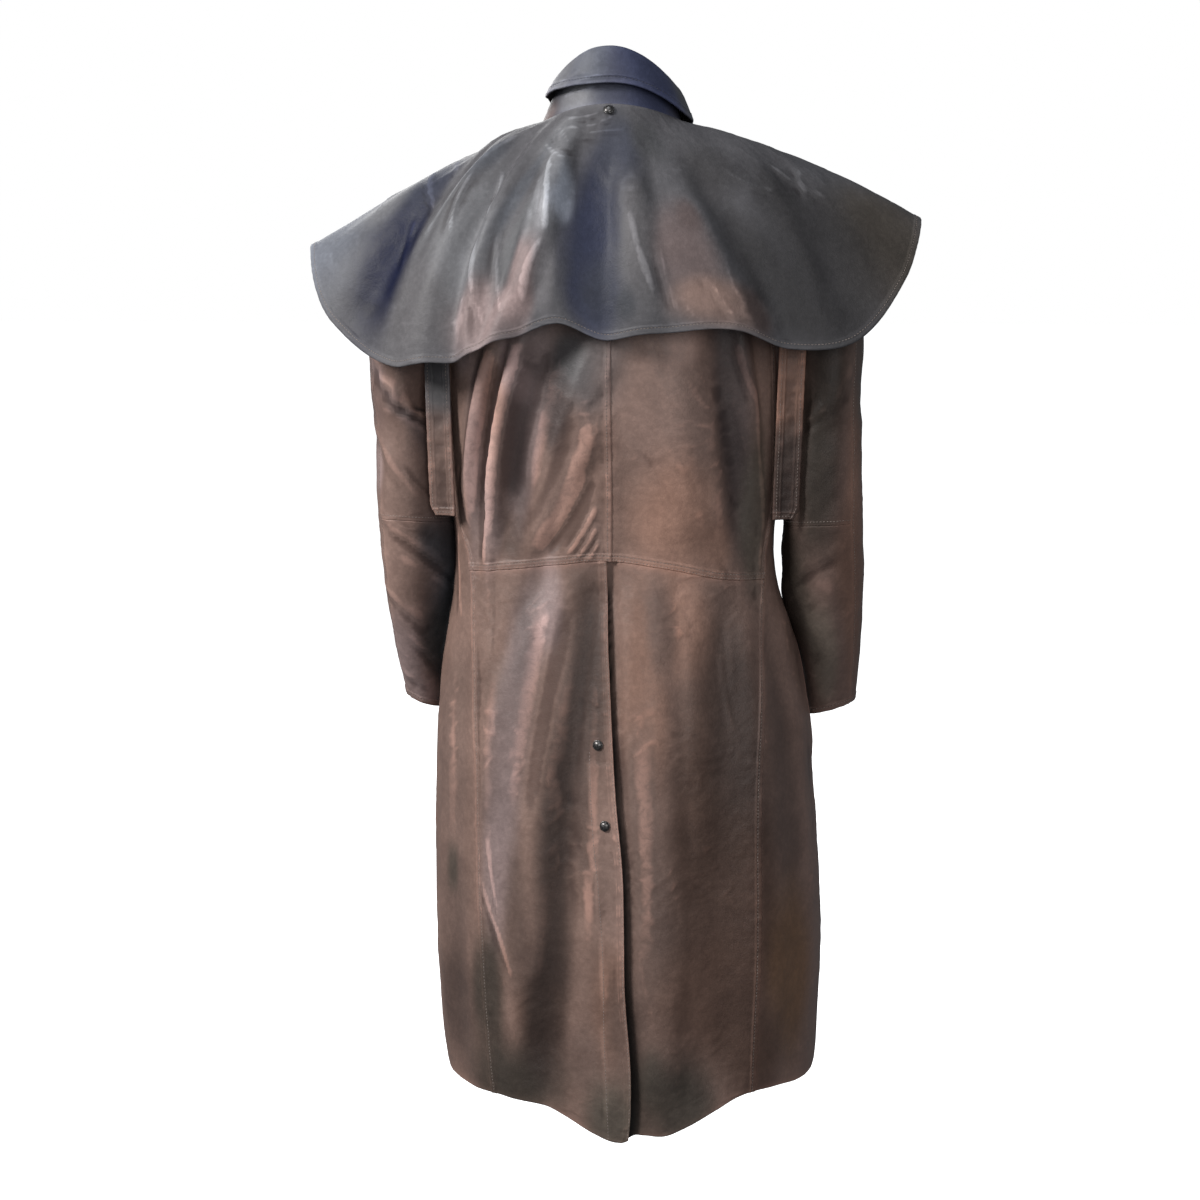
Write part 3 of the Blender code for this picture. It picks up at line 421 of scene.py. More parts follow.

# Painted tones: place, reach each way, how the place leans as it goes down, hue, how light it is, strength.
# Beside the leather's own colour they hold painted light and shade: painted highlights and sheen on lit
# folds, painted shade in valleys and on sides turned from the light
# Body places are angle and distance down; cape places are angle and share of the way to the hem
BODY_TONES = (
    (58.0, 0.4, 12.0, 0.16, 0.0, "brown", 0.18, 0.8),
    (48.0, 0.4, 7.0, 0.13, 50.0, "mauve", 0.18, 0.8),
    (20.0, 0.3, 9.0, 0.05, 0.0, "mauve", 0.12, 0.9),
    (25.0, 0.38, 7.5, 0.13, 58.0, "mauve", 0.18, 0.94),
    (37.0, 0.4, 2.6, 0.12, 52.0, "brown", 0.31, 0.75),
    (42.5, 0.4, 2.2, 0.11, 46.0, "brown", 0.085, 0.75),
    (13.0, 0.43, 5.0, 0.095, 100.0, "brown", 0.26, 0.88),
    (3.0, 0.5, 4.0, 0.04, 0.0, "brown", 0.22, 0.7),
    (3.0, 0.3, 9.0, 0.05, 0.0, "grey", 0.1, 0.9),
    (33.0, 0.5, 7.5, 0.03, 0.0, "brown", 0.1, 0.8),
    (-13.0, 0.35, 13.0, 0.1, -20.0, "brown", 0.26, 0.88),
    (-20.0, 0.47, 14.0, 0.075, 0.0, "russet", 0.37, 0.88),
    (-37.0, 0.51, 8.0, 0.035, 0.0, "russet", 0.31, 0.75),
    (-43.0, 0.34, 10.0, 0.19, -50.0, "mauve", 0.07, 0.96),
    (-59.0, 0.47, 9.0, 0.11, 0.0, "olive", 0.1, 0.85),
    (-22.0, 0.6, 13.0, 0.065, 0.0, "russet", 0.37, 0.85),
    (25.0, 0.6, 8.0, 0.07, 30.0, "mauve", 0.18, 0.85),
    (31.0, 0.74, 8.0, 0.15, 30.0, "mauve", 0.18, 0.85),
    (33.0, 0.88, 6.5, 0.1, 20.0, "mauve", 0.26, 0.85),
    (6.0, 0.65, 4.0, 0.1, 52.0, "brown", 0.12, 0.9),
    (13.5, 0.82, 6.0, 0.14, 30.0, "brown", 0.05, 0.95),
    (15.0, 0.99, 5.4, 0.11, 12.0, "brown", 0.04, 0.94),
    (0.0, 0.9, 4.2, 0.11, 0.0, "brown", 0.22, 0.85),
    (1.0, 1.04, 4.2, 0.07, 0.0, "russet", 0.22, 0.85),
    (-9.0, 0.68, 7.0, 0.11, 0.0, "russet", 0.26, 0.88),
    (-6.0, 0.82, 4.5, 0.11, 6.0, "brown", 0.15, 0.9),
    (-8.0, 0.95, 6.0, 0.08, 0.0, "brown", 0.15, 0.8),
    (-23.0, 0.82, 9.0, 0.18, 20.0, "russet", 0.085, 0.94),
    (-40.0, 0.74, 13.0, 0.18, 0.0, "brown", 0.05, 0.94),
    (-38.0, 0.94, 16.0, 0.13, 0.0, "russet", 0.07, 0.92),
    (-24.0, 1.04, 15.0, 0.08, 0.0, "russet", 0.12, 0.9),
    (-62.0, 0.8, 11.0, 0.17, 0.0, "brown", 0.1, 0.88),
    (-60.0, 1.03, 14.0, 0.11, 0.0, "ochre", 0.15, 0.88),
    (62.0, 0.775, 13.0, 0.13, 0.0, "brown", 0.18, 0.88),
    (60.0, 0.95, 12.0, 0.07, 0.0, "brown", 0.15, 0.85),
    (61.0, 0.91, 4.0, 0.03, 0.0, "olive", 0.07, 0.8),
    (60.0, 1.08, 16.0, 0.08, 0.0, "brown", 0.085, 0.9),
    (20.0, 1.06, 7.0, 0.04, 0.0, "russet", 0.12, 0.8),
    (8.0, 1.11, 5.0, 0.04, 0.0, "brown", 0.15, 0.8),
    (32.0, 1.15, 20.0, 0.055, 0.0, "olive", 0.04, 0.94),
    (1.0, 1.185, 7.0, 0.055, 0.0, "olive", 0.085, 0.94),
    (-16.0, 1.165, 11.0, 0.055, 0.0, "olive", 0.06, 0.92),
    (-7.0, 1.13, 5.5, 0.04, 0.0, "olive", 0.07, 0.9),
    (-42.0, 1.12, 13.0, 0.06, 0.0, "russet", 0.07, 0.9),
    (5.0, 0.66, 5.2, 0.115, 0.0, "brown", 0.05, 0.9),
    (6.5, 0.8, 3.0, 0.09, 0.0, "brown", 0.1, 0.85),
    (39.0, 1.05, 7.0, 0.085, 0.0, "olive", 0.04, 0.9),
    (27.0, 0.94, 5.0, 0.09, 0.0, "brown", 0.085, 0.82),
    (17.0, 0.575, 4.6, 0.055, 0.0, "mauve", 0.31, 0.85),
    (13.0, 0.345, 5.0, 0.055, 20.0, "mauve", 0.06, 0.92),
    (29.0, 0.29, 5.0, 0.035, 0.0, "mauve", 0.31, 0.85),
    (28.0, 0.425, 4.5, 0.075, 20.0, "mauve", 0.1, 0.6),
    (24.0, 0.322, 4.0, 0.022, 0.0, "mauve", 0.37, 0.8),
    (27.0, 0.62, 4.5, 0.05, 0.0, "mauve", 0.12, 0.6),
    (42.0, 0.46, 4.5, 0.06, 0.0, "mauve", 0.31, 0.5),
    (40.0, 0.44, 5.0, 0.11, 40.0, "mauve", 0.31, 0.5),
    (54.0, 0.285, 8.0, 0.03, 0.0, "mauve", 0.37, 0.8),
    (9.0, 0.29, 5.0, 0.03, 0.0, "grey", 0.06, 0.85),
    (-22.0, 0.275, 7.0, 0.024, 0.0, "brown", 0.44, 0.8),
    (-29.0, 0.345, 6.0, 0.07, 0.0, "brown", 0.22, 0.85),
    (-15.0, 0.6, 5.0, 0.06, 0.0, "brown", 0.18, 0.8),
    (-2.0, 1.06, 5.0, 0.07, 0.0, "brown", 0.1, 0.85),
    (19.0, 1.065, 6.5, 0.08, 0.0, "brown", 0.04, 0.9),
    (-34.0, 1.06, 9.0, 0.08, 0.0, "russet", 0.07, 0.85),
    (124.0, 0.4, 9.0, 0.12, 40.0, "brown", 0.26, 0.75),
    (140.0, 0.42, 8.0, 0.14, 30.0, "mauve", 0.1, 0.8),
    (130.0, 0.74, 8.0, 0.2, -10.0, "brown", 0.26, 0.75),
    (150.0, 0.82, 8.0, 0.24, 0.0, "brown", 0.085, 0.8),
    (118.0, 1.0, 14.0, 0.12, 0.0, "brown", 0.1, 0.75),
    (160.0, 1.08, 16.0, 0.08, 0.0, "olive", 0.07, 0.8),
    (-126.0, 0.42, 9.0, 0.13, -40.0, "brown", 0.22, 0.75),
    (-142.0, 0.4, 8.0, 0.14, -30.0, "mauve", 0.085, 0.8),
    (-130.0, 0.78, 9.0, 0.2, 10.0, "brown", 0.22, 0.75),
    (-148.0, 0.76, 8.0, 0.22, 0.0, "brown", 0.07, 0.8),
    (-116.0, 1.0, 14.0, 0.14, 0.0, "russet", 0.1, 0.75),
    (-160.0, 1.08, 14.0, 0.08, 0.0, "brown", 0.085, 0.8),
)
# Cape tones: painted shade in the valleys between its folds, painted highlight on its lit ridges and left
# shoulder, and a painted reflection of bluish light
CAPE_TONES = (
    (92.0, 0.88, 14.0, 0.26, 0.0, "steel", 0.18, 0.88),
    (48.0, 0.58, 10.0, 0.24, 0.0, "slate", 0.18, 0.88),
    (56.0, 0.86, 9.0, 0.16, 0.0, "grey", 0.12, 0.85),
    (37.0, 0.88, 9.0, 0.14, 0.0, "mauve", 0.26, 0.88),
    (30.0, 0.62, 3.0, 0.2, 16.0, "slate", 0.1, 0.8),
    (73.0, 0.72, 7.5, 0.25, -14.0, "navy", 0.025, 0.98),
    (80.0, 0.5, 8.0, 0.14, 0.0, "dusk", 0.06, 0.92),
    (60.0, 0.3, 6.0, 0.12, 20.0, "steel", 0.1, 0.8),
    (24.0, 0.74, 4.6, 0.24, 10.0, "mauve", 0.26, 0.88),
    (26.0, 0.15, 9.0, 0.13, 0.0, "slate", 0.15, 0.8),
    (21.0, 0.42, 4.2, 0.2, -6.0, "slate", 0.31, 0.88),
    (5.0, 0.52, 10.0, 0.34, 4.0, "indigo", 0.05, 0.98),
    (4.0, 0.83, 8.0, 0.17, 0.0, "indigo", 0.07, 0.94),
    (-6.0, 0.2, 10.0, 0.16, 0.0, "dusk", 0.06, 0.9),
    (-10.5, 0.62, 4.4, 0.26, 0.0, "grey", 0.12, 0.9),
    (-23.0, 0.66, 9.0, 0.22, 0.0, "mauve", 0.15, 0.88),
    (-28.0, 0.87, 12.0, 0.12, 0.0, "brown", 0.18, 0.88),
    (-40.0, 0.317, 9.0, 0.13, 0.0, "grey", 0.07, 0.85),
    (-46.0, 0.7, 9.0, 0.28, -10.0, "grey", 0.04, 0.95),
    (-62.0, 0.65, 11.0, 0.28, 0.0, "grey", 0.04, 0.92),
    (-58.0, 0.86, 12.0, 0.15, 0.0, "grey", 0.04, 0.92),
    (-78.0, 0.88, 12.0, 0.22, 0.0, "olive", 0.07, 0.88),
    (16.5, 0.37, 4.0, 0.12, -16.0, "steel", 0.37, 0.88),
    (34.0, 0.4, 3.4, 0.2, 20.0, "steel", 0.1, 0.8),
    (62.0, 0.52, 3.0, 0.16, 10.0, "slate", 0.12, 0.8),
    (24.8, 0.5, 3.0, 0.11, -10.0, "slate", 0.12, 0.9),
    (21.0, 0.3, 3.5, 0.09, 0.0, "slate", 0.18, 0.8),
    (18.6, 0.74, 3.2, 0.18, 0.0, "grey", 0.18, 0.85),
    (27.0, 0.86, 4.0, 0.07, 0.0, "mauve", 0.31, 0.8),
    (83.0, 0.68, 4.0, 0.1, 0.0, "slate", 0.18, 0.8),
    (-50.0, 0.3, 10.0, 0.12, 0.0, "grey", 0.05, 0.85),
    (-22.0, 0.15, 9.0, 0.09, 0.0, "slate", 0.07, 0.8),
    (-27.0, 0.48, 4.0, 0.08, 0.0, "mauve", 0.1, 0.8),
    (2.0, 0.8, 6.0, 0.16, 0.0, "dusk", 0.05, 0.9),
    (-5.0, 0.86, 3.0, 0.08, 0.0, "steel", 0.05, 0.85),
    (-24.0, 0.84, 6.0, 0.09, 0.0, "brown", 0.26, 0.85),
    (-38.0, 0.88, 4.0, 0.1, 0.0, "mauve", 0.06, 0.85),
    (-66.0, 0.7, 10.0, 0.3, 0.0, "grey", 0.04, 0.8),
    (118.0, 0.6, 8.0, 0.36, 0.0, "grey", 0.18, 0.8),
    (134.0, 0.62, 7.0, 0.36, 0.0, "dusk", 0.05, 0.88),
    (152.0, 0.7, 8.0, 0.3, 0.0, "mauve", 0.15, 0.8),
    (-118.0, 0.6, 9.0, 0.36, 0.0, "grey", 0.12, 0.8),
    (-136.0, 0.62, 8.0, 0.36, 0.0, "steel", 0.04, 0.88),
    (-154.0, 0.72, 8.0, 0.3, 0.0, "mauve", 0.15, 0.8),
)

BROWN = (0.200, 0.130, 0.106)
SLEEVE_BROWN = (0.170, 0.112, 0.094)
CAPE_BASE = (0.090, 0.088, 0.094)
COLLAR_BASE = (0.080, 0.082, 0.110)


def from_table(table, at):
    """Smooth values of a table's columns at places along its first column."""
    rows = np.array(table, float)
    at = np.asarray(at, float)
    place = rows[:, 0]
    last = len(rows) - 1
    k = np.clip(np.searchsorted(place, at, side="left") - 1, 0, last - 1)
    before, after = np.maximum(k - 1, 0), np.minimum(k + 2, last)
    span = place[k + 1] - place[k]
    t = np.clip((at - place[k]) / span, 0.0, 1.0)[..., None]
    values = rows[:, 1:]
    slope_a = (values[k + 1] - values[before]) * (span / (place[k + 1] - place[before]))[..., None]
    slope_b = (values[after] - values[k]) * (span / (place[after] - place[k]))[..., None]
    h = (2 * t ** 3 - 3 * t ** 2 + 1) * values[k] + (t ** 3 - 2 * t ** 2 + t) * slope_a
    return h + (3 * t ** 2 - 2 * t ** 3) * values[k + 1] + (t ** 3 - t ** 2) * slope_b


def lerp(a, b, t):
    return a + (b - a) * t


def smooth_step(t):
    t = np.clip(t, 0.0, 1.0)
    return t * t * (3 - 2 * t)


def unit(vectors):
    return vectors / np.maximum(np.linalg.norm(vectors, axis=-1, keepdims=True), 1e-12)


def signed_power(value, power):
    return np.sign(value) * np.abs(value) ** power


def ring_point(angle, row):
    """Points of rings whose height changes from back to side to front."""
    z_back, z_side, z_front, half_width, depth_back, depth_front, centre_x, power = np.moveaxis(row, -1, 0)
    turn = np.radians(angle)
    s, c = np.sin(turn), np.cos(turn)
    depth = np.where(c >= 0, depth_back, depth_front)
    z_end = np.where(c >= 0, z_back, z_front)
    x = centre_x + half_width * signed_power(s, 2 / power)
    y = depth * signed_power(c, 2 / power)
    return np.stack([x, y, z_side + (z_end - z_side) * c * c], -1)


def bump(distance, width):
    """One at the middle of a fold, falling smoothly to nothing."""
    t = np.minimum(np.abs(distance) / (1.6 * width), 1.0)
    return (1 - t * t) ** 2


def fade(at, start, end, edge):
    """One between start and end, and smoothly nothing beyond them."""
    return smooth_step((at - start) / edge + 0.5) * smooth_step((end - at) / edge + 0.5)


def angle_between(a, b):
    return (a - b + 180.0) % 360.0 - 180.0


def body_folds(angle, down):
    height = np.zeros(np.broadcast(angle, down).shape)
    for top, bottom, start, end, width, depth in BODY_FOLDS:
        along = np.clip((down - start) / (end - start), 0.0, 1.0)
        centre = top + (bottom - top) * along
        height = height + depth * bump(angle_between(angle, centre), width) * fade(down, start, end, 0.09)
    return height


def body_point(angle, down, out=0.0):
    """Points of the coat's outer surface, moved outwards by out."""
    angle, down = np.broadcast_arrays(np.asarray(angle, float), np.asarray(down, float))
    row = from_table(BODY, down)
    point = ring_point(angle, row)
    step = ring_point(angle + 1.5, row) - ring_point(angle - 1.5, row)
    outward = unit(np.stack([-step[..., 1], step[..., 0], 0 * step[..., 0]], -1))
    from_middle = (point[..., 0] - row[..., 6]) * outward[..., 0] + point[..., 1] * outward[..., 1]
    outward = outward * np.where(from_middle < 0, -1.0, 1.0)[..., None]
    return point + outward * (body_folds(angle, down) + out)[..., None]


def back_edge(side, down):
    """Angle where the back panel ends: the shoulder seam, the armhole, then the side seam."""
    down = np.asarray(down, float)
    reach = (down - ARMHOLE_MIDDLE) / ARMHOLE_HALF_HEIGHT
    armhole = 90.0 - ARMHOLE_HALF_ANGLE * np.sqrt(np.maximum(1.0 - reach * reach, 0.0))
    seam = from_table(BACK_EDGE, down)[..., 0 if side > 0 else 1]
    below = np.where(down <= BACK_EDGE[0][0], armhole, seam)
    return np.where(down <= SHOULDER_TIP, 90.0, below)


def front_edge(down):
    """Angle where the front panel begins, mirrored across the armhole."""
    down = np.asarray(down, float)
    start = BACK_EDGE[0][0]
    reach = (np.minimum(down, start) - ARMHOLE_MIDDLE) / ARMHOLE_HALF_HEIGHT
    armhole = 90.0 + ARMHOLE_HALF_ANGLE * np.sqrt(np.maximum(1.0 - reach * reach, 0.0))
    below = lerp(armhole, FRONT_EDGE, np.clip((down - start) / 0.1, 0.0, 1.0))
    return np.where(down <= SHOULDER_TIP, 90.0, np.where(down <= start, armhole, below))


def degrees_of(length, down):
    """The angle that a length takes up near the centre of the back or front."""
    return np.degrees(length / from_table(BODY, down)[..., 3])


def flap_edge(down):
    return -degrees_of(from_table(VENT, down)[..., 0], down)


def under_edge(down):
    return degrees_of(from_table(VENT, down)[..., 1], down)


def waist_seam(angle):
    return from_table(WAIST_SEAM, angle)[..., 0]


def hem_line(angle):
    return from_table(HEM_LINE, angle)[..., 0]


# The way round the coat in metres, measured once round a ring at the hips
RING_ANGLES = np.linspace(-200.0, 200.0, 1601)
RING_ROW = from_table(BODY, 0.75)
RING_POINTS = ring_point(RING_ANGLES, np.broadcast_to(RING_ROW, (len(RING_ANGLES), 8)))
RING_STEPS = np.linalg.norm(np.diff(RING_POINTS, axis=0), axis=1)
RING_LENGTHS = np.concatenate([[0.0], np.cumsum(RING_STEPS)])
RING_LENGTHS -= np.interp(0.0, RING_ANGLES, RING_LENGTHS)


def way_round(angle, down):
    """Metres round the coat from the centre back."""
    return np.interp(angle, RING_ANGLES, RING_LENGTHS) * from_table(BODY, down)[..., 3] / RING_ROW[3]


def crease(across, along, start, end, bow, width, height):
    """A soft ridge or trough along a bowed line, with a shallower one of the other sense beside it."""
    start, end = np.array(start), np.array(end)
    length = np.hypot(*(end - start))
    way = (end - start) / length
    t = ((across - start[0]) * way[0] + (along - start[1]) * way[1]) / length
    off = (across - start[0]) * way[1] - (along - start[1]) * way[0]
    off = off - bow * 4 * t * (1 - t)
    ends = smooth_step(t / 0.25) * smooth_step((1 - t) / 0.25)
    main = np.exp(-((off / width) ** 2))
    beside = np.exp(-(((off - 1.7 * width) / (1.2 * width)) ** 2))
    return height * ends * (main - 0.4 * beside)


def ripples(points, wavelength, count, seed):
    """Soft uneven relief between -1 and 1 that runs on from one panel to the next."""
    rng = np.random.default_rng(seed)
    total = np.zeros(points.shape[:-1])
    for _ in range(count):
        direction = unit(rng.normal(size=3))
        size = wavelength * rng.uniform(0.7, 1.5)
        total += np.sin(2 * np.pi * (points @ direction) / size + rng.uniform(0, 2 * np.pi))
    return total / math.sqrt(count)


def crumple(points, wavelength, seed):
    """A net of fine rounded creases, as worn leather keeps."""
    bent = points + 0.25 * wavelength * np.stack(
        [ripples(points, 2.2 * wavelength, 5, seed + k) for k in range(3)], -1
    )
    net = np.exp(-((ripples(bent, wavelength, 6, seed + 3) / 0.32) ** 2))
    return net * smooth_step(0.5 + 0.6 * ripples(points, 4 * wavelength, 6, seed + 4))


SMALL_CREASES = 150


def body_detail(angle, down, points):
    """Creases and crumples on the body, above its largest folds."""
    across = way_round(angle, down)
    height = np.zeros(angle.shape)
    for a0, d0, a1, d1, bow, width, depth in CREASES:
        start = (way_round(a0, d0), d0)
        end = (way_round(a1, d1), d1)
        height += crease(across, down, start, end, bow, width, depth)
    rng = np.random.default_rng(7)
    for _ in range(SMALL_CREASES):
        middle = np.array([rng.uniform(-0.62, 0.62), rng.uniform(0.20, 1.15)])
        lean = rng.normal(0.0, 0.25) + math.copysign(0.35, middle[0]) * (middle[1] < 0.54)
        reach = rng.uniform(0.02, 0.09) * np.array([math.sin(lean), math.cos(lean)])
        width = rng.uniform(0.003, 0.009)
        depth = rng.choice((-1, 1)) * rng.uniform(0.0002, 0.0007)
        height += crease(across, down, middle - reach, middle + reach, rng.normal(0, 0.006), width, depth)
    height += 0.00022 * ripples(points, 0.055, 8, 11)
    height += 0.0005 * crumple(points, 0.034, 21) - 0.0003 * crumple(points, 0.017, 31)
    return height


def armhole_point(side, turn):
    """The armhole's edge: turn 0 is the shoulder tip, 90 the back, 180 the underarm, 270 the front."""
    spin = np.radians(turn)
    down = ARMHOLE_MIDDLE - ARMHOLE_HALF_HEIGHT * np.cos(spin)
    angle = 90.0 - ARMHOLE_HALF_ANGLE * np.sin(spin)
    return body_point(side * angle, down)


def sleeve_ring(side, row, turn):
    """Points of one ring of the sleeve, by row down the arm."""
    spin = np.radians(turn)
    round_c = signed_power(np.cos(spin), 0.9)
    round_s = signed_power(np.sin(spin), 0.9)
    inner, outer = (2, 3) if side > 0 else (4, 5)
    if row < len(SLEEVE_HEAD):
        lean, reach, half_depth, share = SLEEVE_HEAD[row]
        tilt = math.radians(lean)
        near = 0.004 + 0.022 * (1 - lean / 90.0)
        along = lerp(near, reach, (1 + round_c) / 2)
        pivot_x = SLEEVE_ARM[0][inner] - 0.003
        x = pivot_x + along * math.sin(tilt) + 0.0015
        point = np.stack([side * x, half_depth * round_s, PIVOT_Z + along * math.cos(tilt)], -1)
        edge = armhole_point(side, turn)
        edge[..., 0] += side * (0.010 * (lean - 4.0) / 6.0 - ARMHOLE_TUCK)
        return lerp(point, edge, share)
    z_out, z_in, *edges, centre_y, half_depth = SLEEVE_ARM[row - len(SLEEVE_HEAD)]
    low, high = edges[inner - 2], edges[outer - 2]
    x = lerp(low, high, (1 + round_c) / 2)
    z = lerp(z_in, z_out, (1 + round_c) / 2) + 0.006 * round_s
    return np.stack([side * x, centre_y + half_depth * round_s, z], -1)


LAST_ROW = len(SLEEVE_HEAD) + len(SLEEVE_ARM) - 1


def sleeve_point(side, place_down, turn):
    """Points of the sleeve, smooth between its rings."""
    rings = np.stack([sleeve_ring(side, row, turn) for row in range(LAST_ROW + 1)])
    k = np.clip(place_down.astype(int), 0, LAST_ROW - 1)
    t = (place_down - k)[..., None]
    near = [
        np.take_along_axis(rings, np.clip(k + step, 0, LAST_ROW)[None, ..., None], 0)[0]
        for step in (-1, 0, 1, 2)
    ]
    before, a, b, after = near
    slope_a, slope_b = (b - before) * 0.5, (after - a) * 0.5
    point = a * (2 * t ** 3 - 3 * t ** 2 + 1) + slope_a * (t ** 3 - 2 * t ** 2 + t)
    return point + b * (3 * t ** 2 - 2 * t ** 3) + slope_b * (t ** 3 - t ** 2)


def collar_point(table, angle, along):
    rows = [(k, *row, 0.0, 2.1) for k, row in enumerate(table)]
    return ring_point(angle, from_table(rows, along * (len(table) - 1)))


def cape_folds(angle, along):
    height = np.zeros(np.broadcast(angle, along).shape)
    for neck, hem, bend, start, end, width, depth in CAPE_FOLDS:
        centre = neck + (hem - neck) * np.maximum(along, 0.0) ** bend
        height += depth * bump(angle - centre, width) * fade(along, start, end, 0.3)
    return height


def cape_point(angle, along):
    """Points of the cape's outer surface, from the neck seam to its hem."""
    angle, along = np.broadcast_arrays(np.asarray(angle, float), np.asarray(along, float))
    row = from_table(CAPE, angle)
    hem, mid = row[..., :3], row[..., 3:]
    neck = body_point(angle, 0.004, CAPE_NECK_OUT) + np.array([0.0, 0.0, CAPE_NECK_UP])
    t = along[..., None]
    point = neck * ((1 - t) * (1 - 2 * t)) + mid * (4 * t * (1 - t)) + hem * (t * (2 * t - 1))
    turn = np.radians(angle)
    outward = unit(np.stack([np.sin(turn) * 0.7, np.cos(turn) * 0.9, 0.45 + 0 * turn], -1))
    return point + outward * cape_folds(angle, along)[..., None]


def cape_detail(angle, along, points):
    """The cape's finer folds, its crumples and the wave of its hem."""
    height = np.zeros(angle.shape)
    for neck, hem, start, end, width, depth in CAPE_CREASES:
        share = np.clip((along - start) / (end - start), 0.0, 1.0)
        centre = lerp(neck, hem, share ** 0.8)
        narrowing = 1.0 + 0.9 * (1.0 - along)
        off = (angle - centre) / (width * narrowing)
        ends = fade(along, start, end, 0.16)
        height += depth * ends * (np.exp(-(off ** 2)) - 0.4 * np.exp(-(((off - 1.8) / 1.3) ** 2)))
    across = angle * CAPE_SPREAD
    for a0, d0, a1, d1, bow, width, depth in CAPE_WRINKLES:
        start, end = (a0 * CAPE_SPREAD, d0 * CAPE_REACH), (a1 * CAPE_SPREAD, d1 * CAPE_REACH)
        height += crease(across, along * CAPE_REACH, start, end, bow, width, depth)
    height += 0.0003 * ripples(points, 0.060, 8, 12)
    height += 0.0005 * crumple(points, 0.038, 22) - 0.0003 * crumple(points, 0.018, 32)
    return height * smooth_step(along / 0.06)


def strap_point(side, top_x, top_y, bottom_x, bottom_y, across, along):
    """Points of a back strap, a narrow band with its lower outer corner rounded."""
    z = lerp(STRAP_TOP_Z, STRAP_BOTTOM_Z, along)
    outer = side * (across - 0.5) * 2
    corner = np.maximum(0.0, 1.0 - (z - STRAP_BOTTOM_Z) / 0.012) * np.maximum(outer, 0.0)
    x = lerp(top_x, bottom_x, along) + STRAP_WIDTH * (across - 0.5) - side * 0.007 * corner
    y = lerp(top_y, bottom_y, along) - 0.004 * outer + 0.003 * np.sin(np.pi * along)
    return np.stack([x, y, z], -1)


def spaced(length, step, close_start=True, close_end=True):
    """Shares of a length at which the mesh has a line: close together beside sewn edges."""
    way = np.linspace(0.0, length, 3000)
    near = np.full(way.shape, 1.0)
    if close_start:
        near = np.minimum(near, way)
    if close_end:
        near = np.minimum(near, length - way)
    local = np.minimum(step, EDGE_STEP + 0.4 * np.maximum(near - EDGE_REACH, 0.0))
    lines = np.concatenate([[0.0], np.cumsum(np.diff(way) / local[1:])])
    count = max(int(math.ceil(lines[-1])), 3)
    return np.interp(np.linspace(0.0, lines[-1], count + 1), lines, way) / length


# Distances of the rows of stitches from their edges
WELT_ROW = 0.0052
DOUBLE_ROWS = (0.0020, 0.0066)
FOLD_ROW = 0.0068
STRAP_ROW = 0.0042
FRONT_LAP_ROW = 0.0520

# How a sewn edge stands up from the leather beside it, and where its stitches run
SEAMS = {
    "welt": {"rise": 0.0012, "width": 0.0070, "rows": (WELT_ROW,), "round": 0.0008},
    "double": {"rise": 0.0010, "width": 0.0082, "rows": DOUBLE_ROWS, "round": 0.0007},
    "dip": {"rise": -0.0006, "width": 0.0020, "rows": (), "round": 0.0006},
    "fold": {"rise": 0.0009, "width": 0.0086, "rows": (FOLD_ROW,), "round": 0.0016},
    "hem": {"rise": 0.0002, "width": 0.0240, "rows": (), "round": 0.0016},
    "plain": {"rise": 0.0, "width": 0.0050, "rows": (), "round": 0.0006},
}


def edges(kinds):
    """The kinds of a panel's four edges from one line of text."""
    return dict(zip(("near", "far", "top", "bottom"), kinds.split()))


def seam_height(kind, off, along):
    """Height of a sewn edge at a distance off it, puckered by its stitches."""
    seam = SEAMS[kind]
    height = seam["rise"] * (1.0 - smooth_step((off - seam["width"]) / 0.0016))
    for row in seam["rows"]:
        height -= 0.00045 * np.exp(-(((off - row) / 0.0009) ** 2))
    turn = np.minimum(off / seam["round"], 1.0)
    height -= 0.6 * seam["round"] * (1.0 - np.sqrt(1.0 - (1.0 - turn) ** 2))
    if seam["rows"] or kind == "dip":
        pucker = np.sin(2 * np.pi * along / 0.0125 + 1.7 * np.sin(2 * np.pi * along / 0.061))
        height += 0.00028 * pucker * np.exp(-off / 0.011)
    return height


class Panel:
    """A cut piece of leather as a grid of points, with what the finish and the sewing need."""

    def __init__(self, points, outward):
        down_way = np.gradient(points, axis=0)
        over_way = np.gradient(points, axis=1)
        normals = unit(np.cross(over_way, down_way))
        self.turned = float((normals * outward).sum()) < 0
        self.points = points
        self.normals = -normals if self.turned else normals
        steps = np.linalg.norm(np.diff(points, axis=1), axis=-1)
        zero = np.zeros((len(points), 1))
        self.across = np.concatenate([zero, np.cumsum(steps, axis=1)], axis=1)
        steps = np.linalg.norm(np.diff(points, axis=0), axis=-1)
        zero = np.zeros((1, points.shape[1]))
        self.along = np.concatenate([zero, np.cumsum(steps, axis=0)], axis=0)
        self.off = {
            "near": self.across,
            "far": self.across[:, -1:] - self.across,
            "top": self.along,
            "bottom": self.along[-1:, :] - self.along,
        }
        self.height = np.zeros(points.shape[:2])
        self.tone = np.zeros(points.shape[:2] + (3,))

    def sew(self, seams):
        """Raises each edge in its own way."""
        self.seams = seams
        for edge, kind in seams.items():
            along = self.along if edge in ("near", "far") else self.across
            self.height += seam_height(kind, self.off[edge], along)

    def area(self):
        p = self.points
        first = np.cross(p[1:, :-1] - p[:-1, :-1], p[:-1, 1:] - p[:-1, :-1])
        second = np.cross(p[1:, 1:] - p[1:, :-1], p[1:, 1:] - p[:-1, 1:])
        return 0.5 * (np.linalg.norm(first, axis=-1) + np.linalg.norm(second, axis=-1)).sum()

    def surface(self):
        return self.points + self.normals * self.height[..., None]


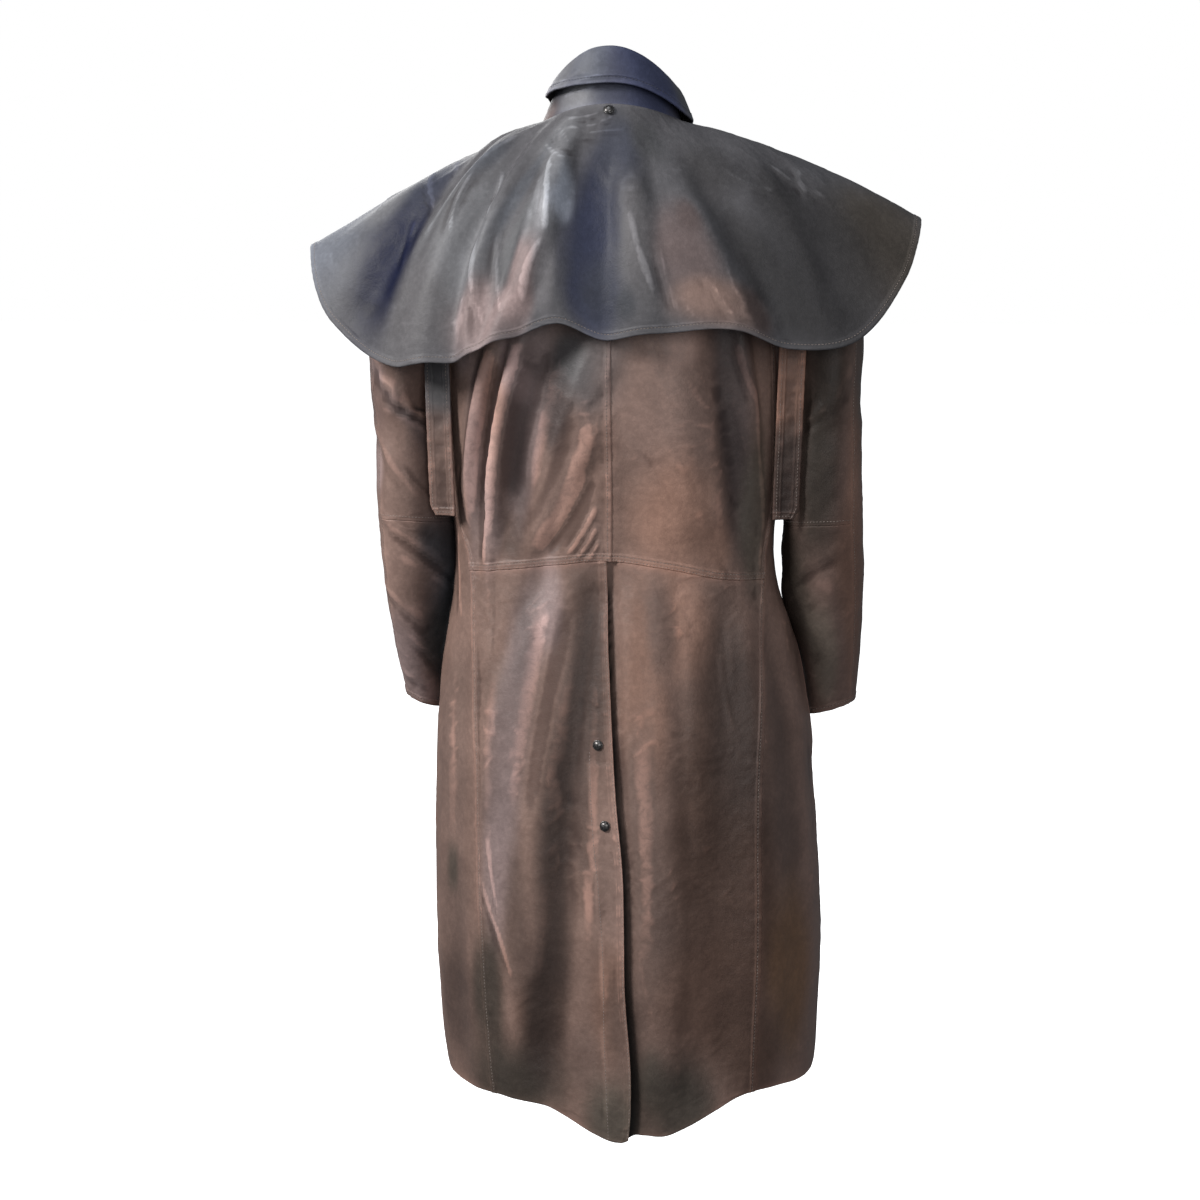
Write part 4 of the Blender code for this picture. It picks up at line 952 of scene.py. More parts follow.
def blurred(values, reach):
    """Values averaged over neighbours on the grid."""
    for axis in (0, 1):
        size = values.shape[axis]
        total = np.cumsum(np.insert(values, 0, 0.0, axis=axis), axis=axis)
        low = np.clip(np.arange(size) - reach, 0, size)
        high = np.clip(np.arange(size) + reach + 1, 0, size)
        share = (high - low).reshape((-1, 1) if axis == 0 else (1, -1))
        values = (np.take(total, high, axis=axis) - np.take(total, low, axis=axis)) / share
    return values


# How far round a place its height is compared with, in metres
CREST_REACH = 0.013


def shell(name, panel, thickness, finish, inside):
    """Makes the closed wall of a panel: its outside, its inside and the cut edge round it."""
    outer = panel.surface()
    rows, columns = outer.shape[:2]
    rim = np.minimum.reduce([panel.off[edge] for edge in panel.off])
    depth = thickness * (0.55 + 0.45 * smooth_step(rim / 0.0015))
    inner = outer - panel.normals * depth[..., None]
    first = np.arange(rows * columns).reshape(rows, columns)
    second = first + rows * columns
    corner = (first[:-1, :-1], first[:-1, 1:], first[1:, 1:], first[1:, :-1])
    lower = (second[:-1, :-1], second[1:, :-1], second[1:, 1:], second[:-1, 1:])
    rims = (
        (first[0, 1:], first[0, :-1], second[0, :-1], second[0, 1:]),
        (first[-1, :-1], first[-1, 1:], second[-1, 1:], second[-1, :-1]),
        (first[:-1, 0], first[1:, 0], second[1:, 0], second[:-1, 0]),
        (first[1:, -1], first[:-1, -1], second[:-1, -1], second[1:, -1]),
    )
    groups = [corner, lower, *rims]
    faces = np.concatenate([np.stack([side.ravel() for side in group], -1) for group in groups])
    if panel.turned:
        faces = faces[:, ::-1]
    outside = corner[0].size
    mesh = bpy.data.meshes.new(name)
    count = len(faces)
    mesh.vertices.add(2 * rows * columns)
    both = np.concatenate([outer.reshape(-1, 3), inner.reshape(-1, 3)])
    mesh.vertices.foreach_set("co", both.astype(np.float32).ravel())
    mesh.loops.add(4 * count)
    mesh.loops.foreach_set("vertex_index", faces.astype(np.int32).ravel())
    mesh.polygons.add(count)
    mesh.polygons.foreach_set("loop_start", np.arange(0, 4 * count, 4, dtype=np.int32))
    side = np.zeros(count, np.int32)
    side[outside : 2 * outside] = 1
    mesh.polygons.foreach_set("material_index", side)
    mesh.update(calc_edges=True)
    mesh.shade_smooth()
    layout = np.stack([panel.across, -panel.along], -1).reshape(-1, 2)
    layout = np.concatenate([layout, layout])
    uv = mesh.uv_layers.new(name="cut")
    uv.data.foreach_set("uv", layout[faces.ravel()].astype(np.float32).ravel())
    # How far each place stands above or below its surroundings: the finish lightens crests with rubbed wear
    # and painted highlight, and darkens hollows with dark wax and painted shade
    spread = float(np.ptp(panel.across)) / (panel.height.shape[1] - 1)
    crest = panel.height - blurred(panel.height, max(2, round(CREST_REACH / spread)))
    crest = np.clip(crest / 0.0011, -1.0, 1.0)
    paled = np.exp(-rim / 0.0035)
    for label, values in (("crest", crest), ("worn_edge", paled)):
        layer = mesh.attributes.new(label, "FLOAT", "POINT")
        values = np.concatenate([values.ravel(), 0.0 * values.ravel()])
        layer.data.foreach_set("value", values.astype(np.float32))
    layer = mesh.attributes.new("tone", "FLOAT_COLOR", "POINT")
    tone = np.concatenate([panel.tone.reshape(-1, 3)] * 2)
    tone = np.concatenate([tone, np.ones((len(tone), 1))], axis=1)
    layer.data.foreach_set("color", tone.astype(np.float32).ravel())
    mesh.materials.append(finish)
    mesh.materials.append(inside)
    obj = bpy.data.objects.new(name, mesh)
    bpy.context.scene.collection.objects.link(obj)
    return obj


def tint(hue, light):
    return light * np.array(HUES[hue])


def painted(base, tones, first, second, points):
    """The leather's own colour with its paler and redder places, and painted light and shade laid over it:
    painted highlights on lit folds, painted shade in valleys and on sides turned from the light.
    """
    colour = np.broadcast_to(np.array(base), first.shape + (3,)).copy()
    drift = 0.16 * ripples(points, 0.16, 6, 51) + 0.08 * ripples(points, 0.03, 6, 52)
    for middle, place, reach, reach_down, lean, hue, light, strength in tones:
        beside = angle_between(first, middle + lean * (second - place))
        away = (beside / reach) ** 2 + ((second - place) / reach_down) ** 2
        weight = strength * np.exp(-np.maximum(away + drift * 0.6, 0.0) ** 2.0)[..., None]
        colour = colour * (1 - weight) + tint(hue, light) * weight
    return colour * (1.0 + 0.06 * ripples(points, 0.09, 6, 61))[..., None]


# Thread: every row of stitches of a piece is collected, then made as one mesh
STITCH_PITCH = 0.0040
STITCH_LENGTH = 0.0029
STITCH_RADIUS = 0.00042


def row_at(panel, edge, offset, start=0.0, end=1.0):
    """Points and normals of a line that runs along an edge at an offset from it."""
    surface = panel.surface()
    offset = offset(panel) if callable(offset) else np.full(max(surface.shape[:2]), offset)
    off = panel.off[edge]
    if edge in ("top", "bottom"):
        off, surface, normals = off.T, surface.swapaxes(0, 1), panel.normals.swapaxes(0, 1)
    else:
        normals = panel.normals
    places, facing = [], []
    first, last = int(start * (len(off) - 1)), int(end * (len(off) - 1)) + 1
    for line in range(first, last):
        order = np.argsort(off[line])
        at = [np.interp(offset[line], off[line][order], surface[line][order][:, k]) for k in range(3)]
        out = [np.interp(offset[line], off[line][order], normals[line][order][:, k]) for k in range(3)]
        places.append(at)
        facing.append(out)
    return np.array(places), unit(np.array(facing))


def stitches_on(line, facing):
    """Middle, direction and normal of each stitch of a row."""
    steps = np.linalg.norm(np.diff(line, axis=0), axis=1)
    way = np.concatenate([[0.0], np.cumsum(steps)])
    places = np.arange(STITCH_PITCH, way[-1] - STITCH_PITCH * 0.5, STITCH_PITCH)
    middle = np.stack([np.interp(places, way, line[:, k]) for k in range(3)], -1)
    ahead = np.stack([np.interp(places + 0.001, way, line[:, k]) for k in range(3)], -1)
    behind = np.stack([np.interp(places - 0.001, way, line[:, k]) for k in range(3)], -1)
    out = unit(np.stack([np.interp(places, way, facing[:, k]) for k in range(3)], -1))
    return middle, unit(ahead - behind), out


def stitch_form():
    """One stitch: a short round thread whose ends dip into the leather."""
    bpy.ops.object.select_all(action="DESELECT")
    bpy.ops.mesh.primitive_uv_sphere_add(segments=6, ring_count=5, radius=1.0)
    obj = bpy.context.active_object
    points = np.array([vertex.co for vertex in obj.data.vertices])
    faces = [tuple(face.vertices) for face in obj.data.polygons]
    bpy.data.objects.remove(obj, do_unlink=True)
    form = np.stack(
        [
            points[:, 2] * STITCH_LENGTH / 2,
            points[:, 0] * STITCH_RADIUS,
            points[:, 1] * STITCH_RADIUS * 0.8 - 0.00045 * points[:, 2] ** 4 + 0.00012,
        ],
        -1,
    )
    return form, faces


def sewing(name, rows, thread):
    """All the stitches of a piece as one mesh."""
    form, faces = stitch_form()
    middles, ways, outs = (np.concatenate(part) for part in zip(*[stitches_on(*row) for row in rows]))
    rng = np.random.default_rng(len(middles))
    sideways = unit(np.cross(outs, ways))
    ways = unit(ways + sideways * rng.normal(0.0, 0.05, (len(ways), 1)))
    sideways = unit(np.cross(outs, ways))
    points = (
        middles[:, None, :]
        + form[None, :, 0:1] * ways[:, None, :]
        + form[None, :, 1:2] * sideways[:, None, :]
        + form[None, :, 2:3] * outs[:, None, :]
    )
    every = []
    for k in range(len(middles)):
        every += [tuple(corner + k * len(form) for corner in face) for face in faces]
    mesh = bpy.data.meshes.new(name)
    mesh.from_pydata(points.reshape(-1, 3).tolist(), [], every)
    mesh.shade_smooth()
    mesh.materials.append(thread)
    obj = bpy.data.objects.new(name, mesh)
    bpy.context.scene.collection.objects.link(obj)
    return obj


def add_node(tree, kind, **settings):
    node = tree.nodes.new(kind)
    for key, value in settings.items():
        setattr(node, key, value)
    return node


def feed(tree, value, socket):
    """Gives a socket another node's output, or a plain value."""
    if isinstance(value, bpy.types.NodeSocket):
        tree.links.new(value, socket)
    else:
        socket.default_value = value


def calculate(tree, operation, first, second=0.0, third=0.0):
    node = add_node(tree, "ShaderNodeMath", operation=operation)
    for socket, value in zip(node.inputs, (first, second, third)):
        feed(tree, value, socket)
    return node.outputs[0]


def noise(tree, place, scale, detail=4.0, roughness=0.55, distortion=0.0, kind="FBM"):
    node = add_node(tree, "ShaderNodeTexNoise", noise_type=kind)
    feed(tree, place, node.inputs["Vector"])
    settings = {"Scale": scale, "Detail": detail, "Roughness": roughness, "Distortion": distortion}
    for label, value in settings.items():
        node.inputs[label].default_value = value
    return node.outputs[0]


def cells(tree, place, scale, feature="F1"):
    node = add_node(tree, "ShaderNodeTexVoronoi", feature=feature)
    feed(tree, place, node.inputs["Vector"])
    node.inputs["Scale"].default_value = scale
    return node.outputs["Distance"]


def ramp(tree, value, low, high, start=0.0, end=1.0):
    """Maps low to start and high to end, smoothly and no further."""
    node = add_node(tree, "ShaderNodeMapRange", interpolation_type="SMOOTHSTEP")
    for socket, number in zip(node.inputs[:5], (value, low, high, start, end)):
        feed(tree, number, socket)
    return node.outputs[0]


def mixed(tree, share, first, second, blend="MIX"):
    node = add_node(tree, "ShaderNodeMix", data_type="RGBA", blend_type=blend)
    feed(tree, share, node.inputs[0])
    for socket, colour in ((node.inputs[6], first), (node.inputs[7], second)):
        if isinstance(colour, tuple):
            colour = (*colour, 1.0)
        feed(tree, colour, socket)
    return node.outputs[2]


def named_value(tree, label):
    return add_node(tree, "ShaderNodeAttribute", attribute_type="GEOMETRY", attribute_name=label)


def waxed_hide_group():
    """Worn waxed leather: mottled tone, crests paled by rubbing and by painted highlight, hollows darkened
    by dark wax and painted shade, pores, fine cracks and soft crumples.
    """
    group = bpy.data.node_groups.new("waxed_hide", "ShaderNodeTree")
    for label, kind, value in (
        ("Place", "NodeSocketVector", None),
        ("Tone", "NodeSocketColor", (0.15, 0.10, 0.08, 1.0)),
        ("Crest", "NodeSocketFloat", 0.0),
        ("Worn Edge", "NodeSocketFloat", 0.0),
        ("Mottle", "NodeSocketFloat", 0.5),
        ("Wear And Highlight", "NodeSocketColor", (0.30, 0.24, 0.22, 1.0)),
        ("Gloss", "NodeSocketFloat", 0.45),
        ("Grain", "NodeSocketFloat", 1.0),
    ):
        socket = group.interface.new_socket(name=label, in_out="INPUT", socket_type=kind)
        if value is not None:
            socket.default_value = value
    for label, kind in (
        ("Color", "NodeSocketColor"),
        ("Roughness", "NodeSocketFloat"),
        ("Height", "NodeSocketFloat"),
    ):
        group.interface.new_socket(name=label, in_out="OUTPUT", socket_type=kind)
    given = group.nodes.new("NodeGroupInput").outputs
    result = group.nodes.new("NodeGroupOutput").inputs
    place = given["Place"]
    broad = noise(group, place, 9.0, 3.0, 0.6, 0.6)
    middling = noise(group, place, 34.0, 5.0, 0.62, 0.4)
    fine = noise(group, place, 170.0, 4.0, 0.6, 0.2)
    scuffs = noise(group, place, 75.0, 6.0, 0.72, 0.9)
    pores = cells(group, place, 620.0)
    pebbles = cells(group, place, 300.0, "SMOOTH_F1")
    creasing = noise(group, place, 58.0, 3.0, 0.5, 1.3, "RIDGED_MULTIFRACTAL")
    # Mottling darkens and lightens the tone without changing its hue much
    patch = calculate(group, "MULTIPLY_ADD", middling, 0.6, calculate(group, "MULTIPLY", broad, 0.5))
    dark = ramp(group, patch, 0.40, 0.72, 0.0, 1.0)
    low = mixed(group, 1.0, given["Tone"], (0.60, 0.55, 0.54), "MULTIPLY")
    high = mixed(group, 1.0, given["Tone"], (1.28, 1.24, 1.22), "MULTIPLY")
    mottled = mixed(group, given["Mottle"], given["Tone"], mixed(group, dark, low, high))
    speckle = ramp(group, fine, 0.35, 0.75, 0.90, 1.08)
    speckled = mixed(group, 1.0, mottled, speckle, "MULTIPLY")
    # Crests are rubbed pale and lightened as painted highlight, edges are rubbed pale, and hollows keep
    # their dark wax and are darkened as painted shade
    patchy = ramp(group, scuffs, 0.30, 0.60, 0.45, 1.0)
    crest_wear_and_highlight = calculate(group, "MULTIPLY", ramp(group, given["Crest"], 0.22, 0.95), patchy)
    edge = calculate(group, "MULTIPLY", given["Worn Edge"], ramp(group, scuffs, 0.30, 0.6, 0.4, 1.0))
    crest_wear_and_highlight = calculate(group, "MULTIPLY", crest_wear_and_highlight, 0.85)
    pale = calculate(group, "MAXIMUM", crest_wear_and_highlight, calculate(group, "MULTIPLY", edge, 0.70))
    scratches = calculate(group, "MULTIPLY", ramp(group, creasing, 0.85, 1.30), 0.03)
    pale = calculate(group, "ADD", pale, scratches)
    wear_and_highlight_tone = mixed(group, 1.0, given["Tone"], given["Wear And Highlight"], "MULTIPLY")
    paled = mixed(group, pale, speckled, wear_and_highlight_tone)
    hollow = ramp(group, given["Crest"], -1.0, -0.25, 0.75, 0.0)
    hollowed = mixed(group, hollow, paled, mixed(group, 1.0, given["Tone"], (0.45, 0.42, 0.42), "MULTIPLY"))
    group.links.new(hollowed, result["Color"])
    rough = calculate(group, "MULTIPLY_ADD", middling, 0.26, given["Gloss"])
    rough = calculate(group, "MULTIPLY_ADD", pale, 0.10, calculate(group, "SUBTRACT", rough, 0.10))
    rough = calculate(group, "MULTIPLY_ADD", fine, 0.10, rough)
    group.links.new(rough, result["Roughness"])
    height = calculate(group, "MULTIPLY", middling, 0.00055)
    height = calculate(group, "MULTIPLY_ADD", scuffs, 0.00022, height)
    height = calculate(group, "MULTIPLY_ADD", creasing, -0.00016, height)
    grain = calculate(group, "MULTIPLY_ADD", pores, 0.00009, calculate(group, "MULTIPLY", pebbles, 0.00012))
    height = calculate(group, "MULTIPLY_ADD", grain, given["Grain"], height)
    height = calculate(group, "MULTIPLY_ADD", fine, 0.00007, height)
    group.links.new(height, result["Height"])
    return group


def leather(label, group, wear_and_highlight, gloss, mottle, shine):
    """A leather finish that takes its tone from the piece's own paint."""
    material = bpy.data.materials.new(label)
    material.use_nodes = True
    tree = material.node_tree
    shader = tree.nodes["Principled BSDF"]
    hide = add_node(tree, "ShaderNodeGroup", node_tree=group)
    place = add_node(tree, "ShaderNodeTexCoord")
    tree.links.new(place.outputs["Object"], hide.inputs["Place"])
    for name, output, socket in (
        ("tone", "Color", "Tone"), ("crest", "Fac", "Crest"), ("worn_edge", "Fac", "Worn Edge")
    ):
        tree.links.new(named_value(tree, name).outputs[output], hide.inputs[socket])
    for socket, value in (("Wear And Highlight", (*wear_and_highlight, 1.0)), ("Gloss", gloss), ("Mottle", mottle)):
        hide.inputs[socket].default_value = value
    tree.links.new(hide.outputs["Color"], shader.inputs["Base Color"])
    tree.links.new(hide.outputs["Roughness"], shader.inputs["Roughness"])
    bump = add_node(tree, "ShaderNodeBump")
    bump.inputs["Distance"].default_value = 1.0
    bump.inputs["Strength"].default_value = 1.0
    tree.links.new(hide.outputs["Height"], bump.inputs["Height"])
    tree.links.new(bump.outputs[0], shader.inputs["Normal"])
    shader.inputs["Specular IOR Level"].default_value = shine
    return material


def plain_finish(label, colour, roughness, metallic, scale, depth, spread):
    """A simpler finish with its own unevenness: colour, roughness and a fine bump."""
    material = bpy.data.materials.new(label)
    material.use_nodes = True
    tree = material.node_tree
    shader = tree.nodes["Principled BSDF"]
    place = add_node(tree, "ShaderNodeTexCoord").outputs["Object"]
    speckle = noise(tree, place, scale, 5.0, 0.6, 0.2)
    dark = tuple(part * (1 - spread) for part in colour)
    pale = tuple(part * (1 + spread) for part in colour)
    tree.links.new(mixed(tree, ramp(tree, speckle, 0.35, 0.65), dark, pale), shader.inputs["Base Color"])
    uneven = ramp(tree, speckle, 0.3, 0.7, roughness - 0.08, roughness + 0.08)
    tree.links.new(uneven, shader.inputs["Roughness"])
    shader.inputs["Metallic"].default_value = metallic
    bump = add_node(tree, "ShaderNodeBump")
    bump.inputs["Distance"].default_value = depth
    tree.links.new(speckle, bump.inputs["Height"])
    tree.links.new(bump.outputs[0], shader.inputs["Normal"])
    return material


def sheet_of(name, panel, thickness, finish):
    obj = shell(name + "_leather", panel, thickness, finish, inside_finish)
    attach(obj, "root")
    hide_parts(name)
    wide = round(float(panel.across[:, -1].max()), 3)
    tall = round(float(panel.along[-1].max()), 3)
    area = round(min(float(panel.area()), wide * tall), 4)
    return obj


def body_panel(near, far, top, bottom, seams, step, sink=None, trim=None):
    """A panel of the body between two edges, given by angle, and two ends, given by distance down."""
    middle = (top(0.0) + bottom(0.0)) / 2
    wide = way_round(far(middle), middle) - way_round(near(middle), middle)
    tall = bottom(0.0) - top(0.0)
    u, v = np.meshgrid(spaced(float(wide), step), spaced(float(tall), step))
    down = lerp(top(0.0), bottom(0.0), v)
    for _ in range(3):
        degree = np.degrees(1.0 / from_table(BODY, down)[..., 4])
        gaps = [(-SEAM_LAP if seams[edge] == "welt" else SEAM_GAP) * degree for edge in ("near", "far")]
        angle = lerp(near(down) + gaps[0], far(down) - gaps[1], u)
        down = lerp(top(angle), bottom(angle), v)
    base = body_point(angle, down, sink(angle, down) if sink else 0.0)
    panel = Panel(base, base * np.array([1.0, 1.0, 0.0]))
    panel.height += body_detail(angle, down, base)
    panel.sew(seams)
    panel.tone = painted(BROWN, BODY_TONES, angle, down, base)
    if trim:
        trim(panel, angle, down)
    return panel


def neck_seam(angle):
    return 0.0 * angle


def above_waist(angle):
    return waist_seam(angle) - SEAM_GAP / 2


def below_waist(angle):
    return waist_seam(angle) + SEAM_GAP / 2


def centre_back(down):
    return 0.0 * np.asarray(down, float)


def left_edge(down):
    return back_edge(1, down)


def right_edge(down):
    return -back_edge(-1, down)


# The stitched edge of the vent's facing: distance down and angle
FACING = (
    (0.75, 5.3),
    (0.835, 4.8),
    (0.9, 3.8),
    (0.997, 2.9),
    (1.093, 2.8),
    (1.25, 2.6),
)
FACING_TOP = 0.757
UNDER_DROP = 0.0016


def under_lap(angle, down):
    """How far the right skirt sinks to pass beneath the vent flap."""
    return -(LAP_DEPTH + UNDER_DROP) * smooth_step((angle - flap_edge(down) + 3.5) / 2.6)


def front_lap(angle, down):
    """How far the right front sinks to pass beneath the left one."""
    return -LAP_DEPTH * (1.0 - smooth_step((angle - LAP_END) / (LAP_START - LAP_END)))



def facing_reach(down):
    """Metres from the flap's edge to the stitched edge of its facing."""
    angle = from_table(FACING, down)[..., 0]
    return way_round(angle, down) - way_round(flap_edge(down), down)


def vent_facing(panel, angle, down):
    """Lifts the flap's edge a little and lays the facing's ridge and stitch line behind it."""
    off = panel.off["near"]
    below = smooth_step((down - FACING_TOP) / 0.0015)
    reach = facing_reach(down)
    panel.height += FLAP_LIFT * np.exp(-((off / 0.016) ** 2)) * smooth_step((down - 0.56) / 0.05)
    panel.height += 0.0007 * below * smooth_step((reach - off) / 0.0016)
    panel.height -= 0.0006 * below * np.exp(-(((off - reach + 0.002) / 0.0011) ** 2))
    band = np.exp(-(((down - FACING_TOP - 0.002) / 0.0011) ** 2)) * smooth_step((reach - off) / 0.002)
    panel.height -= 0.0006 * band
    # The flap's edge and the facing's stitch line are painted paler: partly rubbed wear, partly painted
    # highlight where their ridges catch the light
    line = below * np.exp(-(((off - reach) / 0.0014) ** 2)) + np.exp(-((off / 0.0022) ** 2))
    panel.tone = panel.tone * (1.0 + 0.55 * np.minimum(line, 1.0))[..., None]


# Width of the shadow beside the flap's edge, by distance down
SHADOW_DOWN = (0.560, 0.850, 1.000, 1.100, 1.200)
SHADOW_WIDTH = (0.0030, 0.0050, 0.0080, 0.0120, 0.0150)


def vent_shadow(panel, angle, down):
    """A painted shadow on the right skirt along the flap's edge, wider towards the hem."""
    off = way_round(flap_edge(down), down) - way_round(angle, down)
    width = np.interp(down, SHADOW_DOWN, SHADOW_WIDTH)
    shade = np.exp(-(np.maximum(off, 0.0) / width) ** 2) * smooth_step((down - 0.55) / 0.02)
    panel.tone = panel.tone * (1.0 - 0.93 * shade)[..., None]


def make_body():
    """The back, the skirts, the sides and the fronts, with the rows of stitches that hold them."""
    bodice = (neck_seam, above_waist)
    skirt = (below_waist, hem_line)
    whole = (neck_seam, hem_line)
    # Panels that pass beneath a neighbour, and panels with more to them than their edges
    sinks = {"back_skirt_right": under_lap, "front_right": front_lap}
    trims = {"back_skirt_left": vent_facing, "back_skirt_right": vent_shadow}
    # Name, near edge, far edge, both ends, kinds of the four edges and step of the mesh
    cuts = (
        ("back_left", centre_back, left_edge, bodice, "welt welt plain double", BACK_STEP),
        ("back_right", right_edge, centre_back, bodice, "welt dip plain double", BACK_STEP),
        ("back_skirt_left", flap_edge, left_edge, skirt, "double welt plain hem", BACK_STEP),
        ("back_skirt_right", right_edge, under_edge, skirt, "welt plain plain hem", BACK_STEP),
        ("front_left", front_edge, front_lap_edge, whole, "plain fold plain hem", PLAIN_STEP),
        ("front_right", front_start, front_end, whole, "plain plain plain hem", PLAIN_STEP),
    )
    panels = {}
    for name, near, far, (top, bottom), kinds, step in cuts:
        sink, trim = sinks.get(name), trims.get(name)
        panels[name] = body_panel(near, far, top, bottom, edges(kinds), step, sink, trim)
    for side, hand in HANDS:
        panels["side_panel_" + hand] = side_panel(side)
    for name, panel in panels.items():
        sheet_of(name, panel, LEATHER, brown_finish)
    left, right, flap, lap = (panels[cut[0]] for cut in cuts[:4])
    rows = [row_at(left, "near", WELT_ROW)]
    rows += [row_at(panel, "bottom", offset) for panel in (left, right) for offset in DOUBLE_ROWS]
    rows += [row_at(left, "far", WELT_ROW, 0.3), row_at(right, "near", WELT_ROW, 0.3)]
    rows += [row_at(flap, "near", DOUBLE_ROWS[0]), row_at(flap, "far", WELT_ROW)]
    rows.append(row_at(lap, "near", WELT_ROW))
    rows.append(row_at(flap, "near", facing_line, 0.34))
    sewn("body_stitching", rows)
    front = panels["front_left"]
    sewn("front_stitching", [row_at(front, "far", offset) for offset in (FOLD_ROW, FRONT_LAP_ROW)])


def facing_line(panel):
    """Offset of the facing's stitch line from the flap's edge, row by row."""
    down = np.linalg.norm(panel.points[:, 0] - panel.points[0, 0], axis=-1) + below_waist(0.0)
    return facing_reach(down) - 0.002


def sewn(name, rows, thread=None):
    obj = sewing(name, rows, thread or thread_finish)
    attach(obj, "root")


def front_lap_edge(down):
    return FRONT_LAP_EDGE + 0.0 * down


def front_start(down):
    return FRONT_UNDER_EDGE + 0.0 * down


def front_end(down):
    return -front_edge(down)


def side_panel(side):
    """A side panel, from the curve of the underarm to the hem."""
    start = BACK_EDGE[0][0]
    end = float(hem_line(side * back_edge(side, 1.17)))
    wide = 0.5 * (from_table(BODY, 0.7)[3]) * math.radians(FRONT_EDGE - 60.0)
    u, v = np.meshgrid(spaced(float(wide), PLAIN_STEP * 0.7), spaced(end - start, PLAIN_STEP * 0.7))
    if side < 0:
        u = u[:, ::-1]
    down = lerp(start, end, v)
    gap = np.degrees(SEAM_GAP / from_table(BODY, down)[..., 4])
    angle_top = lerp(back_edge(side, start), front_edge(start), u)
    reach = (angle_top - 90.0) / ARMHOLE_HALF_ANGLE
    top = ARMHOLE_MIDDLE + ARMHOLE_HALF_HEIGHT * np.sqrt(np.maximum(1.0 - reach * reach, 0.0))
    lap = np.degrees(SEAM_LAP / from_table(BODY, down)[..., 4])
    angle = side * lerp(back_edge(side, down) + gap, front_edge(down) + lap, u)
    down = lerp(top + SEAM_GAP, hem_line(angle), v)
    base = body_point(angle, down)
    panel = Panel(base, base * np.array([1.0, 1.0, 0.0]))
    panel.height += body_detail(angle, down, base)
    start, end, depth = SIDE_FULLNESS["left" if side > 0 else "right"]
    panel.height += depth * bump(angle - side * 92.0, 17.0) * fade(down, start, end, 0.05)
    back, front = ("near", "far") if side > 0 else ("far", "near")
    panel.sew({back: "dip", front: "welt", "top": "plain", "bottom": "hem"})
    panel.tone = painted(BROWN, BODY_TONES, angle, down, base)
    return panel


# Tones of the sleeves: turn and row of the place, reach each way, lean, hue, how light, strength. Beside
# the leather's own colour they paint light and shade: near-black painted shade on the left sleeve's inner
# side, painted highlights on its lit folds, and the right sleeve darkened as painted shade
SLEEVE_TONES = {
    "left": (
        (50.0, 8.8, 50.0, 2.0, 0.0, "brown", 0.26, 0.88),
        (60.0, 11.4, 70.0, 1.2, 0.0, "mauve", 0.26, 0.88),
        (112.0, 5.4, 24.0, 1.3, 22.0, "mauve", 0.12, 0.85),
        (60.0, 4.0, 30.0, 0.4, 30.0, "mauve", 0.26, 0.8),
        (74.0, 7.1, 34.0, 0.9, 0.0, "brown", 0.22, 0.8),
        (40.0, 6.9, 14.0, 0.5, 0.0, "mauve", 0.31, 0.8),
        (172.0, 9.7, 52.0, 2.1, 0.0, "steel", 0.085, 0.98),
        (138.0, 8.5, 32.0, 0.6, 0.0, "steel", 0.05, 0.96),
        (142.0, 10.7, 33.0, 0.9, 0.0, "slate", 0.03, 0.96),
        (180.0, 10.8, 36.0, 1.2, 0.0, "slate", 0.06, 0.96),
        (178.0, 6.5, 46.0, 2.2, 0.0, "mauve", 0.06, 0.92),
        (106.0, 4.35, 9.0, 0.75, 62.0, "brown", 0.37, 0.85),
        (134.0, 4.3, 13.0, 0.26, 30.0, "steel", 0.015, 0.9),
        (116.0, 12.1, 40.0, 0.55, 0.0, "mauve", 0.26, 0.85),
        (0.0, 4.0, 70.0, 2.5, 0.0, "mauve", 0.12, 0.6),
    ),
    "right": (
        (34.0, 7.4, 26.0, 3.2, 0.0, "russet", 0.22, 0.88),
        (54.0, 8.9, 26.0, 1.4, 0.0, "russet", 0.18, 0.85),
        (40.0, 10.4, 26.0, 1.8, 0.0, "russet", 0.18, 0.85),
        (106.0, 4.6, 44.0, 3.0, 0.0, "olive", 0.02, 0.95),
        (98.0, 7.0, 30.0, 1.9, 0.0, "olive", 0.03, 0.92),
        (136.0, 9.6, 30.0, 1.8, 0.0, "olive", 0.04, 0.9),
        (170.0, 8.0, 34.0, 5.0, 0.0, "olive", 0.02, 0.95),
        (104.0, 10.9, 26.0, 1.2, 0.0, "olive", 0.18, 0.8),
        (0.0, 4.0, 60.0, 2.5, 0.0, "olive", 0.06, 0.6),
    ),
}

# How much each sleeve and the skirt's sides fill out towards each other:
# first and last row or distance down, and height
SLEEVE_FULLNESS = {"left": ((7.4, 11.8, 0.0050),), "right": ((0.2, 7.0, 0.0090), (9.3, 11.8, 0.0045))}
SIDE_FULLNESS = {"left": (0.400, 0.700, 0.0020), "right": (0.590, 0.780, 0.0045)}


